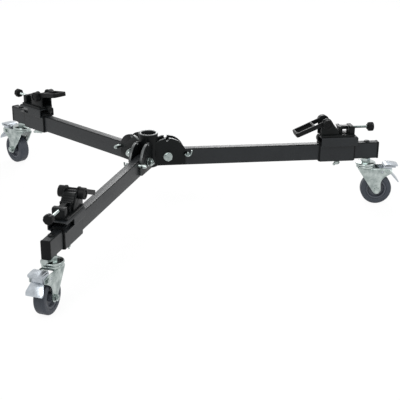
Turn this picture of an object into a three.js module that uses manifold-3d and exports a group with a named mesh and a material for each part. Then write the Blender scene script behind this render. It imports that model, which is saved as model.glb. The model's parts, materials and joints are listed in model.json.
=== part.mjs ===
// A folding three-arm dolly for a camera tripod.
// Millimetres, +Z up, z = 0 on the floor, origin under the middle of the footprint.
// Each arm is drawn once in its own frame: x runs out along the arm, y across it, z up.

import * as THREE from "three";
import { mergeVertices } from "three/addons/utils/BufferGeometryUtils.js";
import Module from "manifold-3d";

const wasm = await Module();
wasm.setup();

const degree = Math.PI / 180;
const quarterTurn = Math.PI / 2;

// Fits and tool sizes
const seat = 0.3; // gap left between two pieces that touch
const run = 0.4; // gap between two pieces that turn or slide on each other
const overrun = 3; // how far a cutting solid runs past the face it cuts
const threadFit = 0.4; // radial gap of a screw in its threaded hole

// Stance
const armNames = ["right", "rear", "front"];
const armDroop = 1.67 * degree; // the arms fall a little towards their wheels
const pivotRadius = 43.3; // hub axis to the fold pivots
const armReach = 515; // fold pivot to the outer end of the tube
const casterInset = 23.5; // outer end of the tube back to the caster's swivel axis

// Arm tube
const tubeHeight = 40;
const tubeWidth = 20;
const tubeWall = 2;
const tubeCorner = 2.5;
const tubeHeel = 11; // length of tube behind the fold pivot
const heelClip = 10; // corner cut off the heel so that it swings past the hub
const pivotOverTubeBase = 24.3; // underside of the tube up to the fold pivot

// End cap
const capFlange = 4;
const capProud = 0.7; // the cap stands this far outside the tube all round
const capPlug = 12;
const capPlugWall = 1.6;

// Hub
const hubRadius = 22.4;
const hubBore = 17;
const hubOverPivot = 56.5;
const hubUnderPivot = 23.2;
const hubChamfer = 1.2;
const hubCollar = 0.5; // extra radius of the ring round the top of the hub
const hubCollarHeight = 5;

// Sector plates that carry an arm
const plateThickness = 6;
const plateGap = 0.6; // each plate to the side of the arm tube
const plateRadius = 44;
const plateFlat = 2.6; // the straight outer edge stands this far inside that radius
const plateUnderPivot = 21;
const plateRootHeight = 34; // height of the plate over the pivot where it meets the hub

// Fold pivot bolt
const boltRadius = 5;
const boltHeadAcross = 17;
const boltHeadHeight = 6.5;
const boltWasherRadius = 10.5;
const boltWasher = 1.6;
const boltNutHeight = 9;
const boltTail = 3;

// Lock pin
const foldAngle = 85 * degree; // flat to folded, also the angle between the two notches
const pinRadius = 3.5;
const pinSeatDepth = 2.7; // plate's rim to the pin's middle when it sits in a notch
const pinSeatAngle = 8.1 * degree;
const pinHandleRadius = 4.6;
const pinHandleLength = 10;
const pinTail = 2.5;
const pinNearReach = 3.2; // straight end of the pin outside the near plate
const pinFarReach = 0.8; // far plate to the handle
const hookWire = 1.9;
const hookShort = 8; // the hook's short arm, towards the hub, and its rise
const hookShortRise = 3;
const hookLong = 8; // its long arm, away from the hub, and its rise
const hookLongRise = 12;
const hookDip = 5; // depth below the pin of the two points that draw the bend of the hook

// Sliding carriage
const carriageInset = 143.5; // outer end of the tube back to the inner end of the carriage at rest
const sleeveLength = 84;
const headOverhang = 6.5; // the head reaches past the outer end of the sleeve
const linerWall = 1;
const linerLip = 2.6;
const linerLipRise = 1.4;
const sleeveWall = 2;
const headWidth = 43;
const headOverTube = 18.5;
const headWall = 2.5;
const headSkirt = 3; // how far the head's side walls reach below the top of the tube
const headCorner = 5;
const headBevel = 1.8; // bevel on the lower edges of the head's sides
const headNose = 3.5;
const headWindow = 36; // length of the opening in the head's far side wall, from the outer end
const sleeveCorner = 2;

// Wing screw under the carriage
const wingPlace = 45.6; // inner end of the carriage to the screw
const wingScrewRadius = 4;
const wingBossRadius = 7.5;
const wingBossHeight = 3;
const wingHubRadius = 5.8;
const wingHubHeight = 7.5;
const wingSpan = 9.5;
const wingHeight = 10;
const wingThickness = 3.2;
const wingTurn = 35 * degree;
const wingTipShare = 0.7; // the wings are widest at this share of their height

// Clamp bracket: base plate, two cheeks and the block that carries the jaw screw
const bracketBase = 5;
const bracketWidth = 39;
const bracketInset = 1; // inner end of the carriage to the base plate
const bracketLength = 81.5;
const cheekInner = 12.8;
const cheekThickness = 3;
const leverPivotPlace = 11.5; // inner end of the carriage to the lever's pivot
const leverPivotOverTube = 51.5;
const cheekRadius = 13.5;
const cheekShoulderShare = 0.2; // the cheek's outer edge starts this share of its radius over the pivot
const cheekFootPlace = 43.5; // inner end of the carriage to the foot of the cheek's outer edge
const cheekKnee = 8; // height of the knee over the base plate
const cheekKneeBack = 1.5;
const blockLength = 12.7;
const blockWidth = 28;
const blockHeight = 19.5;
const blockChamfer = 3;
const screwOverBase = 14;

// Clamp lever
const leverLength = 79;
const leverWidth = 40;
const leverThickness = 10.6;
const leverDrop = 0.5; // underside of the paddle below the pivot
const drumRadius = 12.3;
const drumInner = 16.3;
const drumOuter = 28.8;
const drumRecessRadius = 7.5;
const drumRecess = 1.5;
const leverShaftRadius = 4.6;
const windowFar = 28;
const tipCorner = 6;
const tipTaper = 1; // the paddle is this much narrower on each side at its tip
const gripRecess = 3;
const gripStart = 38;
const gripEnd = 73;
const gripWidth = 28;
const leverClosed = -23.5 * degree; // slope of the closed lever against the arm
const leverSwing = 110 * degree;
const camHigh = 8.5; // pivot to the jaw's back with the lever closed
const camThrow = 3; // how far the cam moves the inner jaw over the whole swing
const camHalfWidth = 12.3;
const camSteps = 8;
const camMarginShare = 0.1; // the cam's curve runs past both ends of the swing by this share of it

// Jaws
const jawProud = 1; // inner jaw in front of the cheeks' edge
const jawOverPivot = 4;
const jawToothDepth = 0.9;
const jawTeeth = 4;
const outerJawGap = 3.5; // foot of the cheeks to the foot of the outer jaw's face
const outerJawStep = 2.5; // the face's knee is this much nearer the hub than its foot
const outerJawLean = 3.5; // and its top this much nearer than its knee
const outerJawKnee = 11; // height of the knee over the foot
const outerJawHeight = 19.5;
const outerJawBack = 68; // inner end of the carriage to the back of the outer jaw
const outerJawWidth = 24;
const outerJawFace = 4.5; // thickness of the wide part behind the face
const outerJawWeb = 8; // width of the narrow part behind it
const outerJawBar = 11; // width of the bar over the window, which takes the jaw screw
const jawWindowLength = 11.5;
const jawWindowHeight = 8.6;
const jawWindowWall = 1.8;
const jawSocket = 7;

// Jaw screw and its knob
const screwRadius = 3;
const knobPlace = 119; // inner end of the carriage to the knob
const knobLength = 13.5;
const knobRadius = 11;
const knobLobe = 1.5;
const knobLobeSteps = 4;
const knobLobes = 7;
const knobNeck = 3;
const knobNeckRadius = 6;
const knobEdge = 2;

// Strap spring behind the jaws
const strapThickness = 1.6;
const strapWidth = 14;
const strapBulge = 9;
const strapFoot = 7;

// Caster
const wheelRadius = 37.5;
const tyreUnderTube = 41; // top of the tyre up to the underside of the tube at the caster
const tyreWidth = 25;
const tyreShoulder = 5;
const tyreInner = 25;
const coreWidth = 22;
const coreRim = 4;
const coreWeb = 9;
const coreHubRadius = 9;
const coreHubWidth = 30;
const coreBevel = 1.5;
const trail = 27; // swivel axis to the axle
// How far each wheel trails off the line of its arm
const casterYaw = { right: -10 * degree, rear: 1.5 * degree, front: -3.5 * degree };
const stemRadius = 6;
const stemNutAcross = 19;
const stemNutHeight = 11;
const topHeadRadius = 7;
const topHeadHeight = 2.2; // low round head on top of the tube
const topHeadEdge = 1;
const raceRadius = 24.3;
const raceHeight = 6.5;
const raceEdge = 2;
const raceLowerRadius = 22.6;
const raceLowerHeight = 3.5;
const raceBore = 6.8;
const kingpinRadius = 6.1;
const rivetRadius = 10;
const rivetHeight = 3;

// Caster fork
const forkThickness = 2.5;
const forkInner = 15.6;
const forkShoulder = 7;
const forkFront = 20; // swivel axis to the front edge
const forkBack = 9.5; // axle to the straight back edge
const forkBoss = 10;
const forkBackRise = 31; // axle up to the end of the straight back edge
const forkTailReach = 36; // axle to the end of the tail that carries the pedal
const forkTailDrop = 15; // top of the roof down to the tail's lower corner
const forkTailRoof = 5; // and down to its upper corner
const tailBoltPlace = 26; // axle to the small bolt across the tail
const tailBoltDrop = 10;
const tailBoltAcross = 9;

// Axle
const axleRadius = 4;
const axleHeadAcross = 11;
const axleHead = 3;
const axleNutAcross = 13;
const axleNut = 6;

// Brake pedal
const pedalPivotBehindAxle = 12;
const pedalPivotUnderTube = 33;
const pedalPinRadius = 2.5;
const pedalArm = 2.5;
const pedalArmInner = 12.9;
const pedalArmHeight = 11;
const pedalReach = 51; // axle to the outer edge of the upper pad
const padStart = 15; // axle to the inner edge of the upper pad
const padOverPivot = 15.5;
const padThickness = 2.6;
const padCrest = 3.4; // the pad's crest over its outer edge
const padCrestPlace = 24; // axle to the crest
const padRoll = 9; // how far the pad's inner edge rolls down from the crest
const padWidth = 30.6;
const padCorner = 6;
const footPadTop = 34; // axle to the top of the foot pad
const footPadFoot = 54; // axle to the bottom of the foot pad
const footPadFall = 20.5;
const footPadThickness = 2.2;
const footPadTopWidth = 24;
const footPadWidth = 39;

// Roundness, in sides of a full turn
const wheelSides = 18;
const fine = 12;
const medium = 8;
const coarse = 8;
// Roundness of outlines, in pairs of steps along each arc
const cornerPairs = 1;
const slotPairs = 2;
const curvePairs = 3;

// Finishes
const finish = (color, roughness, metalness) =>
  new THREE.MeshStandardMaterial({ color, roughness, metalness });
const paint = finish("#3a3f42", 0.5, 0.3);
const blackPaint = finish("#1d1f21", 0.45, 0.3);
const blackPlastic = finish("#141516", 0.55, 0);
const zinc = finish("#c3cdc9", 0.3, 0.9);
const rubber = finish("#434a55", 0.75, 0);
const coreGrey = finish("#6f7684", 0.6, 0);

// Derived places in the arm's frame, whose origin is the fold pivot
const tubeBase = -pivotOverTubeBase;
const tubeTop = tubeHeight - pivotOverTubeBase;
const casterPlace = armReach - casterInset;
const carriageStart = armReach - carriageInset;
const headLength = sleeveLength + headOverhang;
const casterHeight = 2 * wheelRadius + tyreUnderTube; // floor to the underside of the tube at the caster
const pedalPivotOverAxle = casterHeight - wheelRadius - pedalPivotUnderTube;
const pivotHeight =
  casterHeight + casterPlace * Math.sin(armDroop) + pivotOverTubeBase * Math.cos(armDroop);
const plateInner = tubeWidth / 2 + plateGap;
const plateOuter = plateInner + plateThickness;
const plateReach = plateRadius - plateFlat;
const pinSeatRadius = plateRadius - pinSeatDepth;
const pinSeatX = pinSeatRadius * Math.cos(pinSeatAngle);
const pinZ = pinSeatRadius * Math.sin(pinSeatAngle);
const pinFreeRadius = plateRadius + pinRadius + seat;
const pinFreeX = Math.sqrt(pinFreeRadius ** 2 - pinZ ** 2);
const pinTravel = pinFreeX - pinSeatX;

// Derived places in the carriage's frame: x from its inner end, z from the top of the tube
const linerOuter = tubeWidth / 2 + seat + linerWall;
const sleeveInner = linerOuter + seat;
const sleeveOuter = sleeveInner + sleeveWall;
const linerFloor = -tubeHeight - seat - linerWall;
const sleeveFloor = linerFloor - seat - sleeveWall;
const linerRoof = seat + linerWall;
const sleeveRoof = linerRoof + seat + sleeveWall;
const bracketFloor = headOverTube + seat;
const bracketTop = bracketFloor + bracketBase;
const jawFloor = bracketTop + seat;
const screwHeight = bracketTop + screwOverBase;
const jawGuide = jawFloor - leverPivotOverTube; // floor of the jaws against the lever's pivot

// Turns a closed three.js geometry into a solid.
function solid(geometry) {
  const bare = geometry.clone();
  bare.deleteAttribute("normal");
  bare.deleteAttribute("uv");
  const merged = mergeVertices(bare, 1e-4);
  return new wasm.Manifold(
    new wasm.Mesh({
      numProp: 3,
      vertProperties: new Float32Array(merged.attributes.position.array),
      triVerts: new Uint32Array(merged.index.array),
    }),
  );
}

function join(first, ...others) {
  return others.reduce((sum, other) => sum.add(other), first);
}

function cut(first, ...others) {
  return others.reduce((rest, other) => rest.subtract(other), first);
}

// A named mesh of a solid, in the group that carries it.
function piece(name, made, material, group) {
  const { vertProperties, triVerts, numProp } = made.getMesh();
  const count = vertProperties.length / numProp;
  const places = new Float32Array(count * 3);
  for (let i = 0; i < count; i += 1) {
    places.set(vertProperties.subarray(i * numProp, i * numProp + 3), i * 3);
  }
  const geometry = new THREE.BufferGeometry();
  geometry.setAttribute("position", new THREE.BufferAttribute(places, 3));
  geometry.setIndex(new THREE.BufferAttribute(new Uint32Array(triVerts), 1));
  geometry.computeVertexNormals();
  const mesh = new THREE.Mesh(geometry, material);
  mesh.name = name;
  group.add(mesh);
  return mesh;
}

function block(x0, x1, y0, y1, z0, z1) {
  const geometry = new THREE.BoxGeometry(x1 - x0, y1 - y0, z1 - z0);
  geometry.translate((x0 + x1) / 2, (y0 + y1) / 2, (z0 + z1) / 2);
  return solid(geometry);
}

// A round or polygonal bar between two places on a line along x, y or z.
function bar(axis, radius, from, to, [x, y, z] = [0, 0, 0], sides = medium) {
  const geometry = new THREE.CylinderGeometry(radius, radius, to - from, sides);
  geometry.translate(0, (from + to) / 2, 0);
  if (axis === "x") geometry.rotateZ(-quarterTurn);
  if (axis === "z") geometry.rotateX(quarterTurn);
  geometry.translate(x, y, z);
  return solid(geometry);
}

// A hexagonal bar, given by its size across the flats.
function hexagon(axis, across, from, to, place) {
  return bar(axis, across / 2 / Math.cos(Math.PI / 6), from, to, place, 6);
}

// A plate whose outline is drawn in x and z, from y0 to y1.
function sidePlate(outline, y0, y1, curveSegments = curvePairs) {
  const geometry = new THREE.ExtrudeGeometry(outline, {
    depth: y1 - y0,
    bevelEnabled: false,
    curveSegments,
  });
  geometry.rotateX(quarterTurn);
  geometry.translate(0, y1, 0);
  return solid(geometry);
}

// A bar whose section is drawn in y and z, from x0 to x1.
function longBar(section, x0, x1, curveSegments = cornerPairs) {
  const geometry = new THREE.ExtrudeGeometry(section, {
    depth: x1 - x0,
    bevelEnabled: false,
    curveSegments,
  });
  geometry.rotateX(quarterTurn);
  geometry.rotateZ(quarterTurn);
  geometry.translate(x0, 0, 0);
  return solid(geometry);
}

// A plate whose outline is drawn in x and y, from z0 to z1.
function flatPlate(outline, z0, z1, curveSegments = cornerPairs) {
  const geometry = new THREE.ExtrudeGeometry(outline, {
    depth: z1 - z0,
    bevelEnabled: false,
    curveSegments,
  });
  geometry.translate(0, 0, z0);
  return solid(geometry);
}

// A shape turned about an axis, from a profile of [radius, place along the axis].
function turned(axis, profile, [x, y, z] = [0, 0, 0], sides = fine) {
  const points = profile.map(([radius, along]) => new THREE.Vector2(radius, along));
  const geometry = new THREE.LatheGeometry(points, sides);
  if (axis === "x") geometry.rotateZ(-quarterTurn);
  if (axis === "z") geometry.rotateX(quarterTurn);
  geometry.translate(x, y, z);
  return solid(geometry);
}

function polygon(points) {
  return new THREE.Shape(points.map(([x, y]) => new THREE.Vector2(x, y)));
}

// A rectangle with round corners between two of its corners.
function roundRect(x0, x1, y0, y1, radius) {
  const outline = new THREE.Shape();
  outline.moveTo(x0 + radius, y0);
  outline.lineTo(x1 - radius, y0);
  outline.absarc(x1 - radius, y0 + radius, radius, -quarterTurn, 0);
  outline.lineTo(x1, y1 - radius);
  outline.absarc(x1 - radius, y1 - radius, radius, 0, quarterTurn);
  outline.lineTo(x0 + radius, y1);
  outline.absarc(x0 + radius, y1 - radius, radius, quarterTurn, Math.PI);
  outline.lineTo(x0, y0 + radius);
  outline.absarc(x0 + radius, y0 + radius, radius, Math.PI, Math.PI + quarterTurn);
  return outline;
}

// A slot with round ends through a side plate, from one place to another, in x and z.
function slotThrough([x0, z0], [x1, z1], radius, y0, y1) {
  const angle = Math.atan2(z1 - z0, x1 - x0);
  const outline = new THREE.Shape();
  outline.absarc(x1, z1, radius, angle - quarterTurn, angle + quarterTurn);
  outline.absarc(x0, z0, radius, angle + quarterTurn, angle + Math.PI + quarterTurn);
  return sidePlate(outline, y0, y1, slotPairs);
}

function turnedBy([x, z], angle) {
  const cos = Math.cos(angle);
  const sin = Math.sin(angle);
  return [x * cos - z * sin, x * sin + z * cos];
}

// The outline of one sector plate, with its two notches left out.
function sectorOutline() {
  const root = hubRadius / 2 - pivotRadius;
  const corner = Math.acos(plateReach / plateRadius);
  const rootAngle = Math.PI - Math.asin(plateRootHeight / plateRadius);
  const outline = new THREE.Shape();
  outline.moveTo(root, -plateUnderPivot);
  outline.lineTo(plateReach, -plateUnderPivot);
  outline.absarc(0, 0, plateRadius, corner, rootAngle);
  outline.lineTo(root, plateRootHeight);
  return outline;
}

// A notch for the lock pin: from its seat out past the rim, in the line of the pin's slide.
function notch(fold) {
  const seated = turnedBy([pinSeatX, pinZ], fold - armDroop);
  const outside = turnedBy([plateRadius + pinRadius + overrun, pinZ], fold - armDroop);
  return slotThrough(seated, outside, pinRadius + seat, -plateOuter - overrun, plateOuter + overrun);
}

function hubFrame() {
  const top = pivotHeight + hubOverPivot;
  const base = pivotHeight - hubUnderPivot;
  const ring = hubRadius + hubCollar;
  const tube = turned("z", [
    [hubBore, base],
    [hubRadius, base],
    [hubRadius, top - hubCollarHeight],
    [ring, top - hubCollarHeight + hubCollar],
    [ring, top - hubChamfer],
    [ring - hubChamfer, top],
    [hubBore + hubChamfer, top],
    [hubBore, top - hubChamfer],
    [hubBore, base],
  ]);
  const bore = bar("z", hubBore, base - overrun, top + overrun, [0, 0, 0], fine);
  let plates = null;
  armNames.forEach((name, i) => {
    const outline = sectorOutline();
    const pair = join(
      sidePlate(outline, plateInner, plateOuter),
      sidePlate(outline, -plateOuter, -plateInner),
    );
    const hole = boltRadius + seat;
    const bolt = bar("y", hole, -plateOuter - overrun, plateOuter + overrun, [0, 0, 0], fine);
    const cutPair = cut(pair, notch(0), notch(foldAngle), bolt);
    const turn = new THREE.Matrix4().makeRotationZ((i * 2 * Math.PI) / armNames.length);
    turn.multiply(new THREE.Matrix4().makeTranslation(pivotRadius, 0, pivotHeight));
    const placed = cutPair.transform(turn.toArray());
    plates = plates ? plates.add(placed) : placed;
  });
  return join(tube, cut(plates, bore));
}

function armTube() {
  const half = tubeWidth / 2;
  const section = roundRect(-half, half, tubeBase, tubeTop, tubeCorner);
  const tube = longBar(section, -tubeHeel, armReach);
  const hollow = block(
    -tubeHeel - overrun,
    armReach + overrun,
    -half + tubeWall,
    half - tubeWall,
    tubeBase + tubeWall,
    tubeTop - tubeWall,
  );
  const clip = sidePlate(
    polygon([
      [-tubeHeel - overrun, tubeTop - heelClip - overrun],
      [-tubeHeel + heelClip + overrun, tubeTop + overrun],
      [-tubeHeel - overrun, tubeTop + overrun],
    ]),
    -half - overrun,
    half + overrun,
  );
  const pivot = bar("y", boltRadius + seat, -tubeWidth, tubeWidth, [0, 0, 0], fine);
  const slot = slotThrough(
    [pinSeatX - seat, pinZ],
    [pinFreeX + seat, pinZ],
    pinRadius + run,
    -tubeWidth,
    tubeWidth,
  );
  const stem = new THREE.CylinderGeometry(stemRadius + run, stemRadius + run, 3 * tubeHeight, medium);
  stem.rotateX(quarterTurn);
  stem.rotateY(-armDroop);
  stem.translate(casterPlace, 0, tubeBase);
  return cut(tube, hollow, clip, pivot, slot, solid(stem));
}

function endCap() {
  const half = tubeWidth / 2;
  const edge = half + capProud;
  const flange = longBar(
    roundRect(-edge, edge, tubeBase - capProud, tubeTop + capProud, tubeCorner),
    armReach + seat,
    armReach + seat + capFlange,
  );
  const gap = tubeWall + seat;
  const plug = block(
    armReach - capPlug,
    armReach + seat + capFlange / 2,
    -half + gap,
    half - gap,
    tubeBase + gap,
    tubeTop - gap,
  );
  const wall = gap + capPlugWall;
  const hollow = block(
    armReach - capPlug - overrun,
    armReach,
    -half + wall,
    half - wall,
    tubeBase + wall,
    tubeTop - wall,
  );
  return cut(join(flange, plug), hollow);
}

// Bolt, two washers and lock nut, drawn along y with the head on the near side.
function pivotBolt() {
  const face = plateOuter + seat;
  const head = face + boltWasher;
  const nut = head + boltNutHeight;
  const sleeve = boltHeadAcross / 2 - hubChamfer;
  return join(
    bar("y", boltRadius, -head - boltHeadHeight / 2, nut + boltTail),
    bar("y", boltWasherRadius, -head, -face, [0, 0, 0], fine),
    bar("y", boltWasherRadius, face, head, [0, 0, 0], fine),
    hexagon("y", boltHeadAcross, -head - boltHeadHeight, -head),
    hexagon("y", boltHeadAcross, head, nut - boltTail),
    bar("y", sleeve, nut - boltTail, nut),
  );
}

// Cross pin with a turned handle on the far side and a bent hook on the near side.
function lockPin() {
  const near = plateOuter + pinNearReach;
  const far = plateOuter + pinFarReach;
  const side = -near - hookWire / 2;
  const hook = new THREE.CubicBezierCurve3(
    new THREE.Vector3(-hookShort, side, hookShortRise),
    new THREE.Vector3(-hookShort / 2, side, -hookDip),
    new THREE.Vector3(hookLong, side, -hookDip),
    new THREE.Vector3(hookLong, side, hookLongRise),
  );
  const wire = new THREE.Shape();
  wire.absarc(0, 0, hookWire, 0, 2 * Math.PI);
  const hookGeometry = new THREE.ExtrudeGeometry(wire, {
    steps: fine / 2,
    extrudePath: hook,
    curveSegments: cornerPairs + slotPairs,
    bevelEnabled: false,
  });
  return join(
    bar("y", pinRadius, -near, far + pinHandleLength + pinTail, [0, 0, 0], medium),
    bar("y", pinHandleRadius, far, far + pinHandleLength, [0, 0, 0], medium),
    solid(hookGeometry),
  );
}

// Bent-sheet carriage: a sleeve round the tube under a wider hollow head.
function carriage() {
  const half = headWidth / 2;
  const skirt = -headSkirt;
  const section = new THREE.Shape();
  section.moveTo(-sleeveOuter, sleeveFloor + sleeveCorner);
  const bendY = sleeveOuter - sleeveCorner;
  const bendZ = sleeveFloor + sleeveCorner;
  section.absarc(-bendY, bendZ, sleeveCorner, Math.PI, 1.5 * Math.PI);
  section.absarc(bendY, bendZ, sleeveCorner, -quarterTurn, 0);
  section.lineTo(sleeveOuter, skirt - headCorner);
  section.quadraticCurveTo(sleeveOuter, skirt, half - headBevel, skirt);
  section.lineTo(half, skirt + headBevel);
  const cornerZ = headOverTube - headCorner;
  section.absarc(half - headCorner, cornerZ, headCorner, 0, quarterTurn);
  section.absarc(-half + headCorner, cornerZ, headCorner, quarterTurn, Math.PI);
  section.lineTo(-half, skirt + headBevel);
  section.lineTo(-half + headBevel, skirt);
  section.quadraticCurveTo(-sleeveOuter, skirt, -sleeveOuter, skirt - headCorner);
  const sleeveRoom = block(
    -overrun,
    headLength + overrun,
    -sleeveInner,
    sleeveInner,
    linerFloor - seat,
    linerRoof + seat,
  );
  const chamber = new THREE.Shape();
  const inner = half - headWall;
  const bend = headCorner - headWall;
  const bendRoof = headOverTube - headWall - bend;
  const floor = skirt + headWall;
  chamber.moveTo(sleeveOuter, floor);
  chamber.lineTo(inner, floor);
  chamber.absarc(inner - bend, bendRoof, bend, 0, quarterTurn);
  chamber.absarc(-inner + bend, bendRoof, bend, quarterTurn, Math.PI);
  chamber.lineTo(-inner, floor);
  chamber.lineTo(-sleeveOuter, floor);
  chamber.lineTo(-sleeveOuter, sleeveRoof);
  chamber.lineTo(sleeveOuter, sleeveRoof);
  const headRoom = longBar(chamber, -overrun, headLength + overrun);
  const sleeveEnd = block(
    sleeveLength,
    headLength + overrun,
    -headWidth,
    headWidth,
    sleeveFloor - overrun,
    skirt - headCorner,
  );
  const underRoof = block(
    sleeveLength,
    headLength + overrun,
    -sleeveOuter - seat,
    sleeveOuter + seat,
    skirt - headCorner - overrun,
    sleeveRoof + seat,
  );
  const sideWindow = block(
    headLength - headWindow,
    headLength + overrun,
    sleeveOuter + seat,
    half + overrun,
    floor,
    headOverTube - headCorner,
  );
  const body = cut(
    longBar(section, 0, headLength),
    sleeveRoom,
    headRoom,
    sleeveEnd,
    underRoof,
    sideWindow,
  );
  const nose = cut(
    block(
      headLength - headNose,
      headLength + overrun,
      -headWidth,
      headWidth,
      headOverTube - headNose,
      headOverTube + overrun,
    ),
    bar(
      "y",
      headNose,
      -headWidth - overrun,
      headWidth + overrun,
      [headLength - headNose, 0, headOverTube - headNose],
      fine,
    ),
  );
  const boss = bar("z", wingBossRadius, sleeveFloor - wingBossHeight, sleeveFloor + seat, [wingPlace, 0, 0]);
  const bore = bar(
    "z",
    wingScrewRadius + threadFit,
    sleeveFloor - wingBossHeight - overrun,
    linerFloor,
    [wingPlace, 0, 0],
  );
  return cut(join(body, boss), nose, bore);
}

// Plastic liner between sleeve and tube, with a lip outside each end of the sleeve.
function carriageLiner() {
  const side = linerOuter + linerLipRise;
  const roof = linerRoof + linerLipRise;
  const floor = linerFloor - linerLipRise;
  const lipStart = -seat - linerLip;
  const lipEnd = sleeveLength + seat + linerLip;
  const room = tubeWidth / 2 + seat;
  const bore = bar("z", wingScrewRadius + run, 1.5 * linerFloor, linerFloor / 2, [wingPlace, 0, 0]);
  return cut(
    join(
      block(lipStart, lipEnd, -linerOuter, linerOuter, linerFloor, linerRoof),
      block(lipStart, -seat, -side, side, floor, roof),
      block(sleeveLength + seat, lipEnd, -side, side, floor, roof),
    ),
    block(lipStart - overrun, lipEnd + overrun, -room, room, -tubeHeight - seat, seat),
    bore,
  );
}

// Screw with two wings, drawn about its own axis with z from the top of the tube.
function wingScrew() {
  const tip = -tubeHeight - seat;
  const head = sleeveFloor - wingBossHeight - seat;
  const wings = new THREE.Shape();
  wings.moveTo(0, head - wingHubHeight / 3);
  wings.lineTo(wingHubRadius, head - wingHubHeight / 3);
  wings.quadraticCurveTo(wingSpan, head - wingHubHeight / 3, wingSpan, head - wingHeight * wingTipShare);
  wings.quadraticCurveTo(wingSpan, head - wingHeight, wingHubRadius, head - wingHeight);
  wings.lineTo(0, head - wingHubHeight);
  wings.lineTo(-wingHubRadius, head - wingHeight);
  wings.quadraticCurveTo(-wingSpan, head - wingHeight, -wingSpan, head - wingHeight * wingTipShare);
  wings.quadraticCurveTo(
    -wingSpan,
    head - wingHubHeight / 3,
    -wingHubRadius,
    head - wingHubHeight / 3,
  );
  return join(
    bar("z", wingScrewRadius, head - wingHubHeight / 2, tip, [0, 0, 0], medium),
    bar("z", wingHubRadius, head - wingHubHeight, head, [0, 0, 0], medium),
    sidePlate(wings, -wingThickness / 2, wingThickness / 2, slotPairs),
  );
}

// Both cheeks lean out over the same line, which the inner jaw follows too.
function cheekEdge(proud) {
  const foot = cheekFootPlace + proud;
  const knee = [foot - cheekKneeBack, bracketTop + cheekKnee];
  const shoulder = leverPivotOverTube + cheekRadius * cheekShoulderShare;
  const top = [leverPivotPlace + cheekRadius - seat + proud, shoulder];
  return { foot: [foot, bracketTop], knee, top };
}

function clampBracket() {
  const base = block(
    bracketInset,
    bracketInset + bracketLength,
    -bracketWidth / 2,
    bracketWidth / 2,
    bracketFloor,
    bracketTop,
  );
  const { foot, knee, top } = cheekEdge(0);
  const sink = bracketTop - bracketBase / 2;
  const cheek = new THREE.Shape();
  cheek.moveTo(leverPivotPlace - cheekRadius, sink);
  cheek.lineTo(foot[0], sink);
  cheek.lineTo(foot[0], foot[1]);
  cheek.lineTo(knee[0], knee[1]);
  cheek.lineTo(top[0], top[1]);
  const shoulder = Math.asin(cheekShoulderShare);
  cheek.absarc(leverPivotPlace, leverPivotOverTube, cheekRadius, shoulder, Math.PI);
  const outer = cheekInner + cheekThickness;
  const shaft = bar(
    "y",
    leverShaftRadius + run,
    -outer - overrun,
    outer + overrun,
    [leverPivotPlace, 0, leverPivotOverTube],
  );
  const blockEnd = bracketInset + bracketLength;
  const blockStart = blockEnd - blockLength;
  const blockTop = bracketTop + blockHeight;
  const rearOutline = polygon([
    [blockStart, sink],
    [blockEnd, sink],
    [blockEnd, blockTop - blockChamfer],
    [blockEnd - blockChamfer, blockTop],
    [blockStart, blockTop],
  ]);
  const rear = sidePlate(rearOutline, -blockWidth / 2, blockWidth / 2);
  const thread = bar(
    "x",
    screwRadius + threadFit,
    blockStart - overrun,
    blockEnd + overrun,
    [0, 0, screwHeight],
  );
  return cut(
    join(base, sidePlate(cheek, cheekInner, outer), sidePlate(cheek, -outer, -cheekInner), rear),
    shaft,
    thread,
  );
}

// The cam's distance from the pivot to a flat face falls evenly as the lever opens, so its
// outline is the curve whose distance to its own tangent falls evenly with the angle.
function camOutline() {
  const fall = camThrow / leverSwing;
  const first = leverClosed - leverSwing * camMarginShare;
  const span = leverSwing + 2 * leverSwing * camMarginShare;
  const points = [];
  for (let i = 0; i <= camSteps; i += 1) {
    const angle = first + (span * i) / camSteps;
    const reach = camHigh - fall * (angle - leverClosed);
    points.push([
      reach * Math.cos(angle) + fall * Math.sin(angle),
      reach * Math.sin(angle) - fall * Math.cos(angle),
    ]);
  }
  const [firstX, firstZ] = points[0];
  const from = Math.atan2(points[camSteps][1], points[camSteps][0]);
  const to = Math.atan2(firstZ, firstX) + 2 * Math.PI;
  const start = Math.hypot(points[camSteps][0], points[camSteps][1]);
  const end = Math.hypot(firstX, firstZ);
  for (let i = 1; i < camSteps; i += 1) {
    const share = i / camSteps;
    const angle = from + (to - from) * share;
    const radius = start + (end - start) * share;
    points.push([radius * Math.cos(angle), radius * Math.sin(angle)]);
  }
  return polygon(points);
}

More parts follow.
